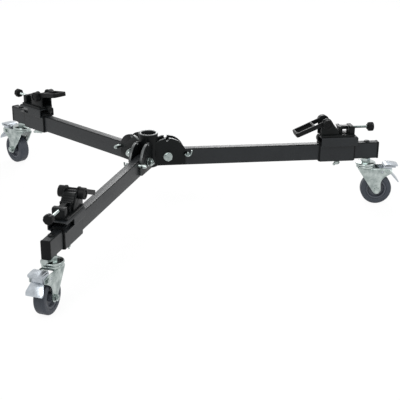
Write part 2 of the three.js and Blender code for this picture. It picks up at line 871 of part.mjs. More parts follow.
// Lever about its pivot: two drums outside the cheeks, a cam between them and a paddle.
function clampLever() {
  const top = leverThickness - leverDrop;
  const half = leverWidth / 2;
  const handle = new THREE.Shape();
  handle.moveTo(0, -half);
  handle.lineTo(0, half);
  handle.lineTo(-windowFar, half);
  const cornerX = -leverLength + tipCorner;
  const cornerY = half - tipTaper - tipCorner;
  handle.lineTo(cornerX, half - tipTaper);
  handle.absarc(cornerX, cornerY, tipCorner, quarterTurn, Math.PI);
  handle.absarc(cornerX, -cornerY, tipCorner, Math.PI, 1.5 * Math.PI);
  handle.lineTo(-windowFar, -half);
  const paddle = flatPlate(handle, -leverDrop, top);
  const inner = drumInner;
  const window = block(-windowFar, leverLength, -inner, inner, -leverThickness, 2 * leverThickness);
  const grip = flatPlate(
    roundRect(-gripEnd, -gripStart, -gripWidth / 2, gripWidth / 2, tipCorner / 2),
    top - gripRecess,
    top + overrun,
  );
  const drums = [1, -1].map((side) => {
    const [near, far] = side > 0 ? [drumInner, drumOuter] : [-drumOuter, -drumInner];
    const face = side * (drumOuter + (overrun - drumRecess) / 2);
    const depth = (overrun + drumRecess) / 2;
    return cut(
      bar("y", drumRadius, near, far, [0, 0, 0], fine),
      bar("y", drumRecessRadius, face - depth, face + depth),
    );
  });
  const shaft = bar("y", leverShaftRadius, -drumOuter + drumRecess / 2, drumOuter - drumRecess / 2);
  const cam = sidePlate(camOutline(), -camHalfWidth, camHalfWidth);
  return join(cut(paddle, window, grip), drums[0], drums[1], shaft, cam);
}

// Both jaws are drawn in the carriage's frame.
function innerJaw() {
  const { foot, knee, top } = cheekEdge(jawProud);
  const back = leverPivotPlace + camHigh + seat;
  const slopeX = knee[0] - top[0];
  const slopeZ = knee[1] - top[1];
  const height = leverPivotOverTube + jawOverPivot;
  const reach = top[0] + (slopeX * (height - top[1])) / slopeZ;
  const body = sidePlate(
    polygon([
      [back, jawFloor],
      [foot[0], jawFloor],
      [knee[0], knee[1]],
      [reach, height],
      [back, height],
    ]),
    -camHalfWidth,
    camHalfWidth,
  );
  const grooves = [];
  for (let i = 1; i <= jawTeeth; i += 1) {
    const share = i / (jawTeeth + 1);
    const x = top[0] + slopeX * share;
    const z = top[1] + slopeZ * share;
    grooves.push(bar("y", jawToothDepth, -camHalfWidth - overrun, camHalfWidth + overrun, [x, 0, z], 4));
  }
  return cut(body, ...grooves);
}

function outerJaw() {
  const foot = cheekFootPlace + outerJawGap;
  const top = jawFloor + outerJawHeight;
  const knee = foot - outerJawStep;
  const head = knee - outerJawLean;
  const face = sidePlate(
    polygon([
      [foot, jawFloor],
      [foot + outerJawFace, jawFloor],
      [knee + outerJawFace, jawFloor + outerJawKnee],
      [knee + outerJawFace, top],
      [head, top],
      [knee, jawFloor + outerJawKnee],
    ]),
    -outerJawWidth / 2,
    outerJawWidth / 2,
  );
  const windowTop = jawFloor + jawWindowWall + jawWindowHeight;
  const web = sidePlate(
    polygon([
      [foot + outerJawFace / 2, jawFloor],
      [outerJawBack, jawFloor],
      [outerJawBack, windowTop + jawWindowWall],
      [knee + outerJawFace / 2, windowTop + jawWindowWall],
    ]),
    -outerJawWeb / 2,
    outerJawWeb / 2,
  );
  const over = block(
    knee + outerJawFace / 2,
    outerJawBack,
    -outerJawBar / 2,
    outerJawBar / 2,
    windowTop,
    top - jawWindowWall / 2,
  );
  const windowEnd = outerJawBack - jawWindowWall;
  const window = block(
    windowEnd - jawWindowLength,
    windowEnd,
    -outerJawWeb,
    outerJawWeb,
    jawFloor + jawWindowWall,
    windowTop,
  );
  const socket = bar(
    "x",
    screwRadius + run,
    outerJawBack - jawSocket,
    outerJawBack + overrun,
    [0, 0, screwHeight],
  );
  return cut(join(face, cut(web, window), over), socket);
}

// Threaded rod with a lobed knob, drawn about the screw's own axis.
function jawScrew() {
  const tip = outerJawBack - jawSocket + seat;
  const lobes = new THREE.Shape();
  const steps = knobLobes * knobLobeSteps;
  for (let i = 0; i < steps; i += 1) {
    const angle = (2 * Math.PI * i) / steps;
    const radius = knobRadius - (knobLobe - knobLobe * Math.cos(knobLobes * angle)) / 2;
    const place = [radius * Math.cos(angle), radius * Math.sin(angle)];
    if (i === 0) lobes.moveTo(...place);
    else lobes.lineTo(...place);
  }
  const lobed = longBar(lobes, knobPlace, knobPlace + knobLength);
  const dome = turned(
    "x",
    [
      [0, knobPlace - knobEdge],
      [knobRadius - knobEdge, knobPlace],
      [knobRadius, knobPlace + knobEdge],
      [knobRadius, knobPlace + knobLength - knobEdge],
      [knobRadius - knobEdge, knobPlace + knobLength],
      [0, knobPlace + knobLength],
    ],
    [0, 0, 0],
    medium,
  );
  return join(
    bar("x", screwRadius, tip, knobPlace + knobLength / 2, [0, 0, 0], medium),
    bar("x", knobNeckRadius, knobPlace - knobNeck, knobPlace + knobEdge, [0, 0, 0], medium),
    lobed.intersect(dome),
  );
}

// A bent steel strap from the base plate round to the floor of the hollow head.
function strapSpring() {
  const high = bracketTop + seat;
  const low = sleeveRoof + seat;
  const radius = (high - low + strapThickness) / 2;
  const middle = low + radius;
  const centre = radius - strapBulge;
  const outline = new THREE.Shape();
  outline.moveTo(strapFoot, low);
  outline.lineTo(centre, low);
  outline.absarc(centre, middle, radius, -quarterTurn, quarterTurn, true);
  outline.lineTo(strapFoot, high + strapThickness);
  outline.lineTo(strapFoot, high);
  outline.lineTo(centre, high);
  outline.absarc(centre, middle, radius - strapThickness, quarterTurn, -quarterTurn, false);
  outline.lineTo(strapFoot, low + strapThickness);
  // It lies against the cheek on the side of the pin's hook.
  const side = -cheekInner + seat;
  return sidePlate(outline, side, side + strapWidth);
}

// Everything of the caster is drawn about its swivel axis, with z from the tube's underside.
function casterStem() {
  const nutTop = -seat - casterSlack();
  const nutBase = nutTop - stemNutHeight;
  const raceBase = nutBase - raceHeight;
  const headBase = tubeHeight + seat + casterSlack();
  const headTop = headBase + topHeadHeight;
  const race = turned("z", [
    [0, raceBase],
    [raceLowerRadius - raceEdge, raceBase],
    [raceRadius, raceBase + raceEdge],
    [raceRadius, nutBase - raceEdge],
    [raceRadius - raceEdge, nutBase],
    [0, nutBase],
  ]);
  const head = turned("z", [
    [0, headBase],
    [topHeadRadius, headBase],
    [topHeadRadius, headTop - topHeadEdge],
    [topHeadRadius - topHeadEdge, headTop],
    [0, headTop],
  ]);
  const rivetTop = forkCrown() - raceLowerHeight - forkThickness - run;
  return join(
    bar("z", stemRadius, nutBase - seat, headBase + topHeadHeight / 2),
    hexagon("z", stemNutAcross, nutBase - seat, nutTop),
    race,
    head,
    bar("z", kingpinRadius, rivetTop - rivetHeight / 2, raceBase + seat),
    bar("z", rivetRadius, rivetTop - rivetHeight, rivetTop),
  );
}

// The stem stands upright in a drooping tube, so its nut and head need this much more room.
function casterSlack() {
  return topHeadRadius * Math.sin(armDroop);
}

function forkCrown() {
  return -seat - casterSlack() - stemNutHeight - raceHeight - seat;
}

function casterFork() {
  const crown = forkCrown();
  const plateTop = crown - raceLowerHeight;
  const axle = wheelRadius - casterHeight;
  const outer = forkInner + forkThickness;
  const tailEnd = trail + forkTailReach;
  const section = new THREE.Shape();
  section.moveTo(-outer, axle - 2 * forkBoss);
  section.lineTo(-outer, plateTop - forkShoulder);
  const bendY = outer - forkShoulder;
  const bendZ = plateTop - forkShoulder;
  section.absarc(-bendY, bendZ, forkShoulder, Math.PI, quarterTurn, true);
  section.absarc(bendY, bendZ, forkShoulder, quarterTurn, 0, true);
  section.lineTo(outer, axle - 2 * forkBoss);
  section.lineTo(forkInner, axle - 2 * forkBoss);
  const inside = forkShoulder - forkThickness;
  section.lineTo(forkInner, bendZ);
  section.absarc(forkInner - inside, bendZ, inside, 0, quarterTurn);
  section.absarc(-forkInner + inside, bendZ, inside, quarterTurn, Math.PI);
  section.lineTo(-forkInner, axle - 2 * forkBoss);
  const channel = longBar(section, -forkFront, tailEnd);
  const side = new THREE.Shape();
  const lead = Math.atan2(axle - plateTop, trail + forkFront);
  side.moveTo(-forkFront, plateTop);
  side.lineTo(-forkFront, plateTop - forkThickness);
  side.absarc(trail, axle, forkBoss, lead - quarterTurn, 0, false);
  side.lineTo(trail + forkBack, axle + forkBackRise / 2);
  side.quadraticCurveTo(
    trail + forkBack,
    axle + forkBackRise,
    tailEnd,
    plateTop - forkTailDrop,
  );
  side.lineTo(tailEnd, plateTop - forkTailRoof);
  side.lineTo(trail + forkBack, plateTop);
  const legs = channel.intersect(sidePlate(side, -outer - overrun, outer + overrun));
  const roofOpening = block(
    raceLowerRadius,
    tailEnd + overrun,
    -forkInner,
    forkInner,
    plateTop - forkShoulder,
    plateTop + overrun,
  );
  const race = turned("z", [
    [raceBore, plateTop - forkThickness],
    [raceLowerRadius - raceEdge, plateTop - forkThickness],
    [raceLowerRadius, plateTop - forkThickness / 2],
    [raceLowerRadius, crown - raceEdge / 2],
    [raceLowerRadius - raceEdge, crown],
    [raceBore, crown],
    [raceBore, plateTop - forkThickness],
  ]);
  const bore = bar("z", raceBore, plateTop - 2 * forkThickness, plateTop + overrun, [0, 0, 0], fine);
  const axleHole = bar("y", axleRadius + seat, -outer - overrun, outer + overrun, [trail, 0, axle]);
  const pedalHole = bar(
    "y",
    pedalPinRadius + run,
    -outer - overrun,
    outer + overrun,
    [trail + pedalPivotBehindAxle, 0, axle + pedalPivotOverAxle],
    coarse,
  );
  const tailBolts = [-1, 1].map((side) => {
    const near = side > 0 ? outer - seat : -outer - tailBoltAcross / 3;
    const far = side > 0 ? outer + tailBoltAcross / 3 : -outer + seat;
    return hexagon("y", tailBoltAcross, near, far, [trail + tailBoltPlace, 0, plateTop - tailBoltDrop]);
  });
  return join(cut(join(cut(legs, roofOpening, bore), race), axleHole, pedalHole), ...tailBolts);
}

// Wheel pieces are drawn about the axle, with a flat side of the tread on the floor.
function wheelTurned(profile) {
  const made = turned("y", profile, [0, 0, 0], wheelSides);
  const halfStep = new THREE.Matrix4().makeRotationY(Math.PI / wheelSides);
  return made.transform(halfStep.toArray());
}

function tyre() {
  const half = tyreWidth / 2;
  const corner = tyreShoulder * (1 - Math.SQRT1_2);
  const tread = wheelRadius / Math.cos(Math.PI / wheelSides);
  return wheelTurned([
    [tyreInner, -half],
    [tread - tyreShoulder, -half],
    [tread - corner, -half + corner],
    [tread, -half + tyreShoulder],
    [tread, half - tyreShoulder],
    [tread - corner, half - corner],
    [tread - tyreShoulder, half],
    [tyreInner, half],
    [tyreInner, -half],
  ]);
}

function wheelCore() {
  const rim = tyreInner - seat;
  const half = coreWidth / 2;
  const web = coreWeb / 2;
  const hub = coreHubWidth / 2;
  const bore = axleRadius + run;
  return wheelTurned([
    [bore, -hub],
    [coreHubRadius, -hub],
    [coreHubRadius + coreBevel, -web],
    [rim - coreRim - coreBevel, -web],
    [rim - coreRim, -half],
    [rim, -half],
    [rim, half],
    [rim - coreRim, half],
    [rim - coreRim - coreBevel, web],
    [coreHubRadius + coreBevel, web],
    [coreHubRadius, hub],
    [bore, hub],
    [bore, -hub],
  ]);
}

function axleBolt() {
  const face = forkInner + forkThickness + seat;
  return join(
    bar("y", axleRadius, -face - axleHead / 2, face + axleNut + axleRadius / 2),
    hexagon("y", axleHeadAcross, -face - axleHead, -face),
    hexagon("y", axleNutAcross, face, face + axleNut),
  );
}

// Two-part brake pedal about its pin; x from the pin, behind the wheel.
function brakePedal() {
  const outer = pedalArmInner + pedalArm;
  const padEnd = pedalReach - pedalPivotBehindAxle;
  const padFront = padStart - pedalPivotBehindAxle;
  const footX = footPadTop - pedalPivotBehindAxle;
  const footEnd = footPadFoot - pedalPivotBehindAxle;
  const half = pedalArmHeight / 2;
  const arm = new THREE.Shape();
  arm.absarc(0, 0, half, quarterTurn, 1.5 * Math.PI);
  arm.lineTo(footX, -half);
  arm.lineTo(footX + padThickness, padOverPivot - padThickness / 2);
  arm.lineTo(padFront + half, padOverPivot - padThickness / 2);
  const padHalf = padWidth / 2;
  const crestX = padCrestPlace - pedalPivotBehindAxle;
  const crest = padOverPivot + padCrest;
  const rolled = new THREE.Shape();
  rolled.moveTo(padFront, crest - padRoll);
  rolled.quadraticCurveTo(padFront, crest, crestX, crest);
  rolled.quadraticCurveTo((crestX + padEnd) / 2, crest, padEnd, padOverPivot);
  rolled.lineTo(padEnd, padOverPivot - padThickness);
  rolled.quadraticCurveTo((crestX + padEnd) / 2, crest - padThickness, crestX, crest - padThickness);
  rolled.quadraticCurveTo(
    padFront + padThickness,
    crest - padThickness,
    padFront + padThickness,
    crest - padRoll,
  );
  const plan = flatPlate(
    roundRect(padFront - padCorner, padEnd, -padHalf, padHalf, padCorner),
    crest - 2 * padRoll,
    crest + overrun,
  );
  const pad = sidePlate(rolled, -padHalf, padHalf, slotPairs).intersect(plan);
  const lip = block(
    padFront + padCorner,
    padEnd - padCorner,
    -padHalf,
    padHalf,
    padOverPivot - 2 * padThickness,
    padOverPivot - padThickness / 2,
  );
  const lipRoom = block(
    padFront,
    padEnd,
    -padHalf + padThickness / 2,
    padHalf - padThickness / 2,
    padOverPivot - 3 * padThickness,
    padOverPivot - padThickness,
  );
  const web = block(
    footX - footPadThickness / 2,
    footX + footPadThickness / 2,
    -footPadTopWidth / 2,
    footPadTopWidth / 2,
    -half,
    padOverPivot - padThickness / 2,
  );
  const slant = sidePlate(
    polygon([
      [footX - footPadThickness / 2, -half + footPadThickness],
      [footX - footPadThickness / 2, -half],
      [footEnd - footPadThickness, -half - footPadFall],
      [footEnd, -half - footPadFall + footPadThickness / 2],
      [footX + footPadThickness, -half + footPadThickness],
    ]),
    -footPadWidth,
    footPadWidth,
  );
  const spread = new THREE.Shape();
  spread.moveTo(footX - footPadThickness, -footPadTopWidth / 2);
  spread.lineTo(footEnd - padCorner, -footPadWidth / 2);
  spread.quadraticCurveTo(footEnd + overrun, -footPadWidth / 2, footEnd + overrun, 0);
  spread.quadraticCurveTo(footEnd + overrun, footPadWidth / 2, footEnd - padCorner, footPadWidth / 2);
  spread.lineTo(footX - footPadThickness, footPadTopWidth / 2);
  const foot = slant.intersect(flatPlate(spread, -2 * footPadFall, pedalArmHeight, slotPairs));
  return join(
    sidePlate(arm, pedalArmInner, outer),
    sidePlate(arm, -outer, -pedalArmInner),
    bar("y", pedalPinRadius, -forkInner - forkThickness, forkInner + forkThickness, [0, 0, 0], coarse),
    pad,
    cut(lip, lipRoom),
    web,
    foot,
  );
}

// Assembly. Each arm hangs at its fold pivot, and what moves has a group of its own.
const dolly = new THREE.Group();

function groupAt(parent, x, y, z) {
  const group = new THREE.Group();
  group.position.set(x, y, z);
  parent.add(group);
  return group;
}

piece("hub_frame", hubFrame(), blackPaint, dolly);

const shapes = {
  arm_tube: armTube(),
  end_cap: endCap(),
  pivot_bolt: pivotBolt(),
  lock_pin: lockPin(),
  carriage: carriage(),
  carriage_liner: carriageLiner(),
  wing_screw: wingScrew(),
  clamp_bracket: clampBracket(),
  clamp_lever: clampLever(),
  strap_spring: strapSpring(),
  inner_jaw: innerJaw(),
  outer_jaw: outerJaw(),
  jaw_screw: jawScrew(),
  caster_stem: casterStem(),
  caster_fork: casterFork(),
  tyre: tyre(),
  wheel_core: wheelCore(),
  axle_bolt: axleBolt(),
  brake_pedal: brakePedal(),
};

// How far each lever stands open at rest: the rear one is partly raised.
const leverOpen = { right: 0, rear: 31 * degree, front: 0 };

armNames.forEach((name, i) => {
  const add = (part, material, group) =>
    piece(`${name}_${part}`, shapes[part], material, group);
  const sector = new THREE.Group();
  sector.rotation.z = (i * 2 * Math.PI) / armNames.length;
  dolly.add(sector);
  const pivot = groupAt(sector, pivotRadius, 0, pivotHeight);
  add("pivot_bolt", zinc, pivot);

  const arm = groupAt(pivot, 0, 0, 0);
  arm.rotation.y = armDroop;
  add("arm_tube", paint, arm);
  add("end_cap", blackPlastic, arm);
  add("lock_pin", zinc, groupAt(arm, pinFreeX, 0, pinZ));

  const slider = groupAt(arm, carriageStart, 0, tubeTop);
  add("carriage", paint, slider);
  add("carriage_liner", blackPlastic, slider);
  add("clamp_bracket", blackPaint, slider);
  add("strap_spring", blackPaint, slider);
  const wing = groupAt(slider, wingPlace, 0, 0);
  wing.rotation.z = wingTurn;
  add("wing_screw", zinc, wing);
  const lever = groupAt(slider, leverPivotPlace, 0, leverPivotOverTube);
  lever.rotation.y = leverClosed + leverOpen[name];
  add("clamp_lever", blackPlastic, lever);
  const jawBack = (-camThrow * leverOpen[name]) / leverSwing;
  add("inner_jaw", blackPaint, groupAt(slider, jawBack, 0, 0));
  add("outer_jaw", blackPaint, slider);
  add("jaw_screw", blackPlastic, groupAt(slider, 0, 0, screwHeight));

  const caster = groupAt(arm, casterPlace, 0, tubeBase);
  caster.rotation.y = -armDroop;
  add("caster_stem", zinc, caster);
  const swivel = groupAt(caster, 0, 0, 0);
  swivel.rotation.z = casterYaw[name];
  add("caster_fork", zinc, swivel);
  const axle = groupAt(swivel, trail, 0, wheelRadius - casterHeight);
  add("tyre", rubber, axle);
  add("wheel_core", coreGrey, axle);
  add("axle_bolt", zinc, axle);
  add("brake_pedal", zinc, groupAt(axle, pedalPivotBehindAxle, 0, pedalPivotOverAxle));
});

// The hub axis stands behind the middle of the footprint by half of what the arms reach forward
// beyond what they reach back.
dolly.updateMatrixWorld(true);
const footprint = new THREE.Box3().setFromObject(dolly);
const middle = footprint.getCenter(new THREE.Vector3());
dolly.position.set(-middle.x, -middle.y, 0);
dolly.updateMatrixWorld(true);

export default dolly;
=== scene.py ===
# %% [markdown]
# # A folding tripod dolly, dressed for its picture
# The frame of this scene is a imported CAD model: three arms that fold up to a hub, each with a foot
# clamp and a braked caster. This lesson models every piece again, with its broken edges and pressed
# corners, and gives it a finish. Sizes are in millimetres until a piece is put in its place.

# %% Load the frame
import json
from math import atan2, cos, degrees, hypot, pi, radians, sin
import bpy
from mathutils import Matrix, Vector


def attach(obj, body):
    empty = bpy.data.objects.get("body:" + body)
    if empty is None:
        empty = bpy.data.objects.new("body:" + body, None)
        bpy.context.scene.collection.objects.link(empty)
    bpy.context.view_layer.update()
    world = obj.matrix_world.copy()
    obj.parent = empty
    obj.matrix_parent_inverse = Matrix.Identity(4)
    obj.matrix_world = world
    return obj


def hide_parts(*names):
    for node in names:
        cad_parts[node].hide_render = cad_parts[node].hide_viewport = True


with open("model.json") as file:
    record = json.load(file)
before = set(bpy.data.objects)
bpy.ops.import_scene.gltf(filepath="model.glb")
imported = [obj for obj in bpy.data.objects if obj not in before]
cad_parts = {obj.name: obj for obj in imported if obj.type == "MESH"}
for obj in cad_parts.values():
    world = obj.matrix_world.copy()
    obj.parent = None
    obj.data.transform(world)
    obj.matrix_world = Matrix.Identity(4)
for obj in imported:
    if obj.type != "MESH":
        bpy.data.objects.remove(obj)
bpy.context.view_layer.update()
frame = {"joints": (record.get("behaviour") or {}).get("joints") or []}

joints = {joint["name"]: joint for joint in frame["joints"]}
arms = ("right", "rear", "front")
mm = 0.001

# %% [markdown]
# ## Where things lie
# Each piece is easiest to draw about its own axis. Its place could be typed in, but three arms make
# too many numbers to keep right. So a matrix is worked out for every moving group, from the joints
# of the frame and from a few sizes of the product.

# %% Sizes that place the groups
SEAT = 0.3
RUN = 0.4
OVERRUN = 3
DROOP = radians(1.67)
HUB_TO_PIVOT = 43.3
TUBE_BASE = -24.3
TUBE_TOP = 15.7
CASTER_PLACE = 491.5
CARRIAGE_START = 371.5
LEVER_PIVOT = (11.5, 51.5)
LEVER_CLOSED = radians(-23.5)
LEVER_OPEN = {"right": 0.0, "rear": radians(31), "front": 0.0}
SCREW_HEIGHT = 37.8
FREE_PIN = (47.444, 5.819)
WING_PLACE = 45.6
WING_TURN = radians(35)
print("gap between touching pieces:", SEAT, "mm, between moving ones:", RUN, "mm")


# %% Directions of each group
def moved(x, y, z):
    return Matrix.Translation((x, y, z))


def turned_by(angle, axis):
    return Matrix.Rotation(angle, 4, axis)


def group_frames(arm):
    """A matrix in millimetres for each group of one arm."""
    pivot_place = Vector(joints[arm + "_fold"]["pos_m"]) / mm
    along = Vector(joints[arm + "_outer_jaw_slide"]["axis"])
    heading = atan2(along.y, along.x)
    pivot = moved(*pivot_place) @ turned_by(heading, "Z")
    tube = pivot @ turned_by(DROOP, "Y")
    slider = tube @ moved(CARRIAGE_START, 0, TUBE_TOP)
    lever_turn = turned_by(LEVER_CLOSED + LEVER_OPEN[arm], "Y")
    caster = tube @ moved(CASTER_PLACE, 0, TUBE_BASE) @ turned_by(-DROOP, "Y")
    axle = Vector(joints[arm + "_wheel_spin"]["axis"])
    swivel_turn = turned_by(atan2(-axle.x, axle.y), "Z")
    wheel_place = Vector(joints[arm + "_wheel_spin"]["pos_m"]) / mm
    pedal_place = Vector(joints[arm + "_pedal_turn"]["pos_m"]) / mm
    return {
        "pivot": pivot,
        "tube": tube,
        "pin": tube @ moved(FREE_PIN[0], 0, FREE_PIN[1]),
        "slider": slider,
        "wing": slider @ moved(WING_PLACE, 0, 0) @ turned_by(WING_TURN, "Z"),
        "lever": slider @ moved(LEVER_PIVOT[0], 0, LEVER_PIVOT[1]) @ lever_turn,
        "screw": slider @ moved(0, 0, SCREW_HEIGHT),
        "caster": caster,
        "swivel": moved(*caster.translation) @ swivel_turn,
        "wheel": moved(*wheel_place) @ swivel_turn,
        "pedal": moved(*pedal_place) @ swivel_turn,
    }


frames = {arm: group_frames(arm) for arm in arms}
hub_axis = frames["right"]["pivot"] @ Vector((-HUB_TO_PIVOT, 0, 0)) * mm
for arm in arms:
    lever_joint = Vector(joints[arm + "_lever_turn"]["pos_m"])
    gap = (frames[arm]["lever"].translation * mm - lever_joint).length
    print(arm, "lever pivot lies", round(gap / mm, 3), "mm from its joint")

# %% [markdown]
# ## The camera
# The photograph was taken from a little above with a long lens. A camera can be placed by eye, but
# then the tubes never quite meet the photograph's. So the lens, the distance and the two angles were
# worked out beforehand from the corners of the tubes.

# %% Camera
LENS = 113.25
SENSOR = 36
DISTANCE = 2986.8 * mm
PITCH = 0.3549
HEADING = 0.1959
AIM_RIGHT = 120.64 * mm
AIM_HEIGHT = 43.4 * mm

right_of_view = Vector((cos(HEADING), -sin(HEADING), 0))
ahead_level = Vector((sin(HEADING), cos(HEADING), 0))
ahead = ahead_level * cos(PITCH) + Vector((0, 0, -sin(PITCH)))
aim = Vector((hub_axis.x, hub_axis.y, AIM_HEIGHT)) + right_of_view * AIM_RIGHT
camera_data = bpy.data.cameras.new("picture_camera")
camera_data.lens = LENS
camera_data.sensor_width = SENSOR
camera = bpy.data.objects.new("picture_camera", camera_data)
bpy.context.scene.collection.objects.link(camera)
camera.location = aim - ahead * DISTANCE
camera.rotation_mode = "QUATERNION"
camera.rotation_quaternion = ahead.to_track_quat("-Z", "Y")
bpy.context.scene.camera = camera
print("camera stands", round((camera.location - aim).length, 2), "m from its aim")

# %% [markdown]
# ## Modelling by hand, in code
# A few moves make nearly all of this product: a profile is spun as on a lathe, an outline is given a
# thickness as when sheet is cut, shapes are cut and joined, and sharp edges are broken by a bevel.
# Points and faces could be typed in, but Blender's own tools keep a mesh closed. An operator acts on
# all that is selected, so everything is deselected first.

# %% Selecting and edit mode
MERGE_WITHIN = 0.002
FLAT_WITHIN = 0.008


def only(piece):
    """Leaves just this object selected and active."""
    bpy.ops.object.select_all(action="DESELECT")
    piece.select_set(True)
    bpy.context.view_layer.objects.active = piece
    return piece


def shaded(piece, within=34):
    """Shades smooth wherever two faces meet at less than this angle."""
    only(piece)
    bpy.ops.object.shade_smooth_by_angle(angle=radians(within))
    return piece


def tidy_shell(piece):
    """Merges doubled points, joins faces that lie flat and turns every face outwards."""
    only(piece)
    bpy.ops.object.mode_set(mode="EDIT")
    bpy.ops.mesh.select_all(action="SELECT")
    bpy.ops.mesh.remove_doubles(threshold=MERGE_WITHIN)
    bpy.ops.mesh.dissolve_limited(angle_limit=FLAT_WITHIN)
    bpy.ops.mesh.select_all(action="SELECT")
    bpy.ops.mesh.normals_make_consistent(inside=False)
    bpy.ops.object.mode_set(mode="OBJECT")
    return piece


print("points closer than", MERGE_WITHIN, "mm are merged")

# %% Spinning a profile
TO_AXIS = {"x": turned_by(pi / 2, "Y"), "y": turned_by(-pi / 2, "X"), "z": moved(0, 0, 0)}


def spun(profile, axis="z", place=(0, 0, 0), sides=48):
    """A profile of (radius, place along the axis) spun round that axis."""
    bpy.ops.object.select_all(action="DESELECT")
    bpy.ops.mesh.primitive_plane_add(size=1)
    piece = bpy.context.active_object
    bpy.ops.object.mode_set(mode="EDIT")
    bpy.ops.mesh.select_all(action="SELECT")
    bpy.ops.mesh.merge(type="CENTER")
    bpy.ops.transform.translate(value=(profile[0][0], 0, profile[0][1]))
    for (r0, z0), (r1, z1) in zip(profile, profile[1:]):
        step = {"value": (r1 - r0, 0, z1 - z0)}
        bpy.ops.mesh.extrude_region_move(TRANSFORM_OT_translate=step)
    bpy.ops.mesh.select_all(action="SELECT")
    bpy.ops.mesh.spin(steps=sides, angle=2 * pi, center=(0, 0, 0), axis=(0, 0, 1))
    bpy.ops.object.mode_set(mode="OBJECT")
    piece.data.transform(moved(*place) @ TO_AXIS[axis])
    return tidy_shell(piece)


def rod(radius, start, end, axis="z", place=(0, 0, 0), sides=32):
    """A plain round bar between two places on its axis."""
    return spun([(0, start), (radius, start), (radius, end), (0, end)], axis, place, sides)


def rounded_rod(radius, start, end, axis="z", place=(0, 0, 0), edge=0.6, sides=40):
    """A bar whose two ends are rounded off a little."""
    near = 0.3 * edge
    profile = [(0, start), (radius - edge, start), (radius - near, start + near)]
    profile += [(radius, start + edge), (radius, end - edge), (radius - near, end - near)]
    profile += [(radius - edge, end), (0, end)]
    return shaded(spun(profile, axis, place, sides))


print("profiles are spun about", ", ".join(TO_AXIS))


# %% Cutting an outline out of sheet
def as_mesh(name, curve):
    """Turns a drawn curve into a mesh object."""
    drawn = bpy.data.objects.new(name, curve)
    bpy.context.scene.collection.objects.link(drawn)
    only(drawn)
    bpy.ops.object.convert(target="MESH")
    return bpy.context.active_object


def cut_out(points, thickness):
    """An outline in x and y made a solid, from z = 0 up."""
    curve = bpy.data.curves.new("outline", "CURVE")
    curve.dimensions = "2D"
    curve.fill_mode = "BOTH"
    curve.extrude = thickness / 2
    spline = curve.splines.new("POLY")
    spline.points.add(len(points) - 1)
    for point, (x, y) in zip(spline.points, points):
        point.co = (x, y, 0, 1)
    spline.use_cyclic_u = True
    piece = as_mesh("outline", curve)
    piece.data.transform(moved(0, 0, thickness / 2))
    return tidy_shell(piece)


def side_sheet(points, y0, y1):
    """An outline in x and z, from y0 to y1."""
    piece = cut_out(points, y1 - y0)
    piece.data.transform(moved(0, y1, 0) @ turned_by(pi / 2, "X"))
    return piece


def flat_sheet(points, z0, z1):
    """An outline in x and y, from z0 to z1."""
    piece = cut_out(points, z1 - z0)
    piece.data.transform(moved(0, 0, z0))
    return piece


def long_bar(points, x0, x1):
    """A section in y and z, drawn out from x0 to x1."""
    piece = cut_out(points, x1 - x0)
    turn = turned_by(pi / 2, "Z") @ turned_by(pi / 2, "X")
    piece.data.transform(moved(x0, 0, 0) @ turn)
    return piece


def box_shape(x0, x1, y0, y1, z0, z1):
    return flat_sheet([(x0, y0), (x1, y0), (x1, y1), (x0, y1)], z0, z1)


print("outlines are cut from the side, from above or across")


# %% Lines and curves for outlines
def arc(centre, radius, start, end, steps=12):
    """Points on an arc; the angles are in degrees."""
    angles = [radians(start + (end - start) * i / steps) for i in range(steps + 1)]
    return [(centre[0] + radius * cos(a), centre[1] + radius * sin(a)) for a in angles]


def bend(first, pull, last, steps=10):
    """Points on a curve from first to last, drawn towards the point between them."""
    points = []
    for i in range(steps + 1):
        t = i / steps
        parts = ((1 - t) ** 2, 2 * t * (1 - t), t * t)
        point = [sum(p * v[k] for p, v in zip(parts, (first, pull, last))) for k in (0, 1)]
        points.append(tuple(point))
    return points


def round_box(x0, x1, y0, y1, radius, steps=6):
    """A rectangle with round corners."""
    corners = [(x1 - radius, y0 + radius, -90), (x1 - radius, y1 - radius, 0)]
    corners += [(x0 + radius, y1 - radius, 90), (x0 + radius, y0 + radius, 180)]
    line = []
    for x, y, start in corners:
        line += arc((x, y), radius, start, start + 90, steps)
    return line


def slot_line(start, end, radius, steps=14):
    """The outline of a slot with round ends."""
    angle = degrees(atan2(end[1] - start[1], end[0] - start[0]))
    far = arc(end, radius, angle - 90, angle + 90, steps)
    return far + arc(start, radius, angle + 90, angle + 270, steps)


def both_sides(right):
    """A line and its mirror image on the other side, as one closed outline."""
    return right + [(-x, y) for x, y in reversed(right)]


print("a round box has", len(round_box(-1, 1, -1, 1, 0.5)), "points")


# %% Joining, cutting and bevelling
def combine(piece, others, operation):
    """Applies one boolean for each of the other shapes and removes them."""
    for other in others:
        only(piece)
        step = piece.modifiers.new("step", "BOOLEAN")
        step.operation = operation
        step.solver = "EXACT"
        step.object = other
        bpy.ops.object.modifier_apply(modifier="step")
        bpy.data.objects.remove(other)
    return piece


def welded(piece, *others):
    return combine(piece, others, "UNION")


def cut(piece, *others):
    return combine(piece, others, "DIFFERENCE")


def kept_inside(piece, other):
    return combine(piece, [other], "INTERSECT")


def softened(piece, width, segments=2, limit=28, smooth=34):
    """Breaks the sharp edges and shades the rest smooth."""
    only(piece)
    edge = piece.modifiers.new("edge", "BEVEL")
    edge.width = width
    edge.segments = segments
    edge.limit_method = "ANGLE"
    edge.angle_limit = radians(limit)
    edge.use_clamp_overlap = True
    edge.harden_normals = False
    bpy.ops.object.modifier_apply(modifier="edge")
    return shaded(piece, smooth)


def together(first, *others):
    """Makes one object of several closed shells."""
    only(first)
    for other in others:
        other.select_set(True)
    bpy.ops.object.join()
    return bpy.context.active_object


print("modelling helpers are ready")

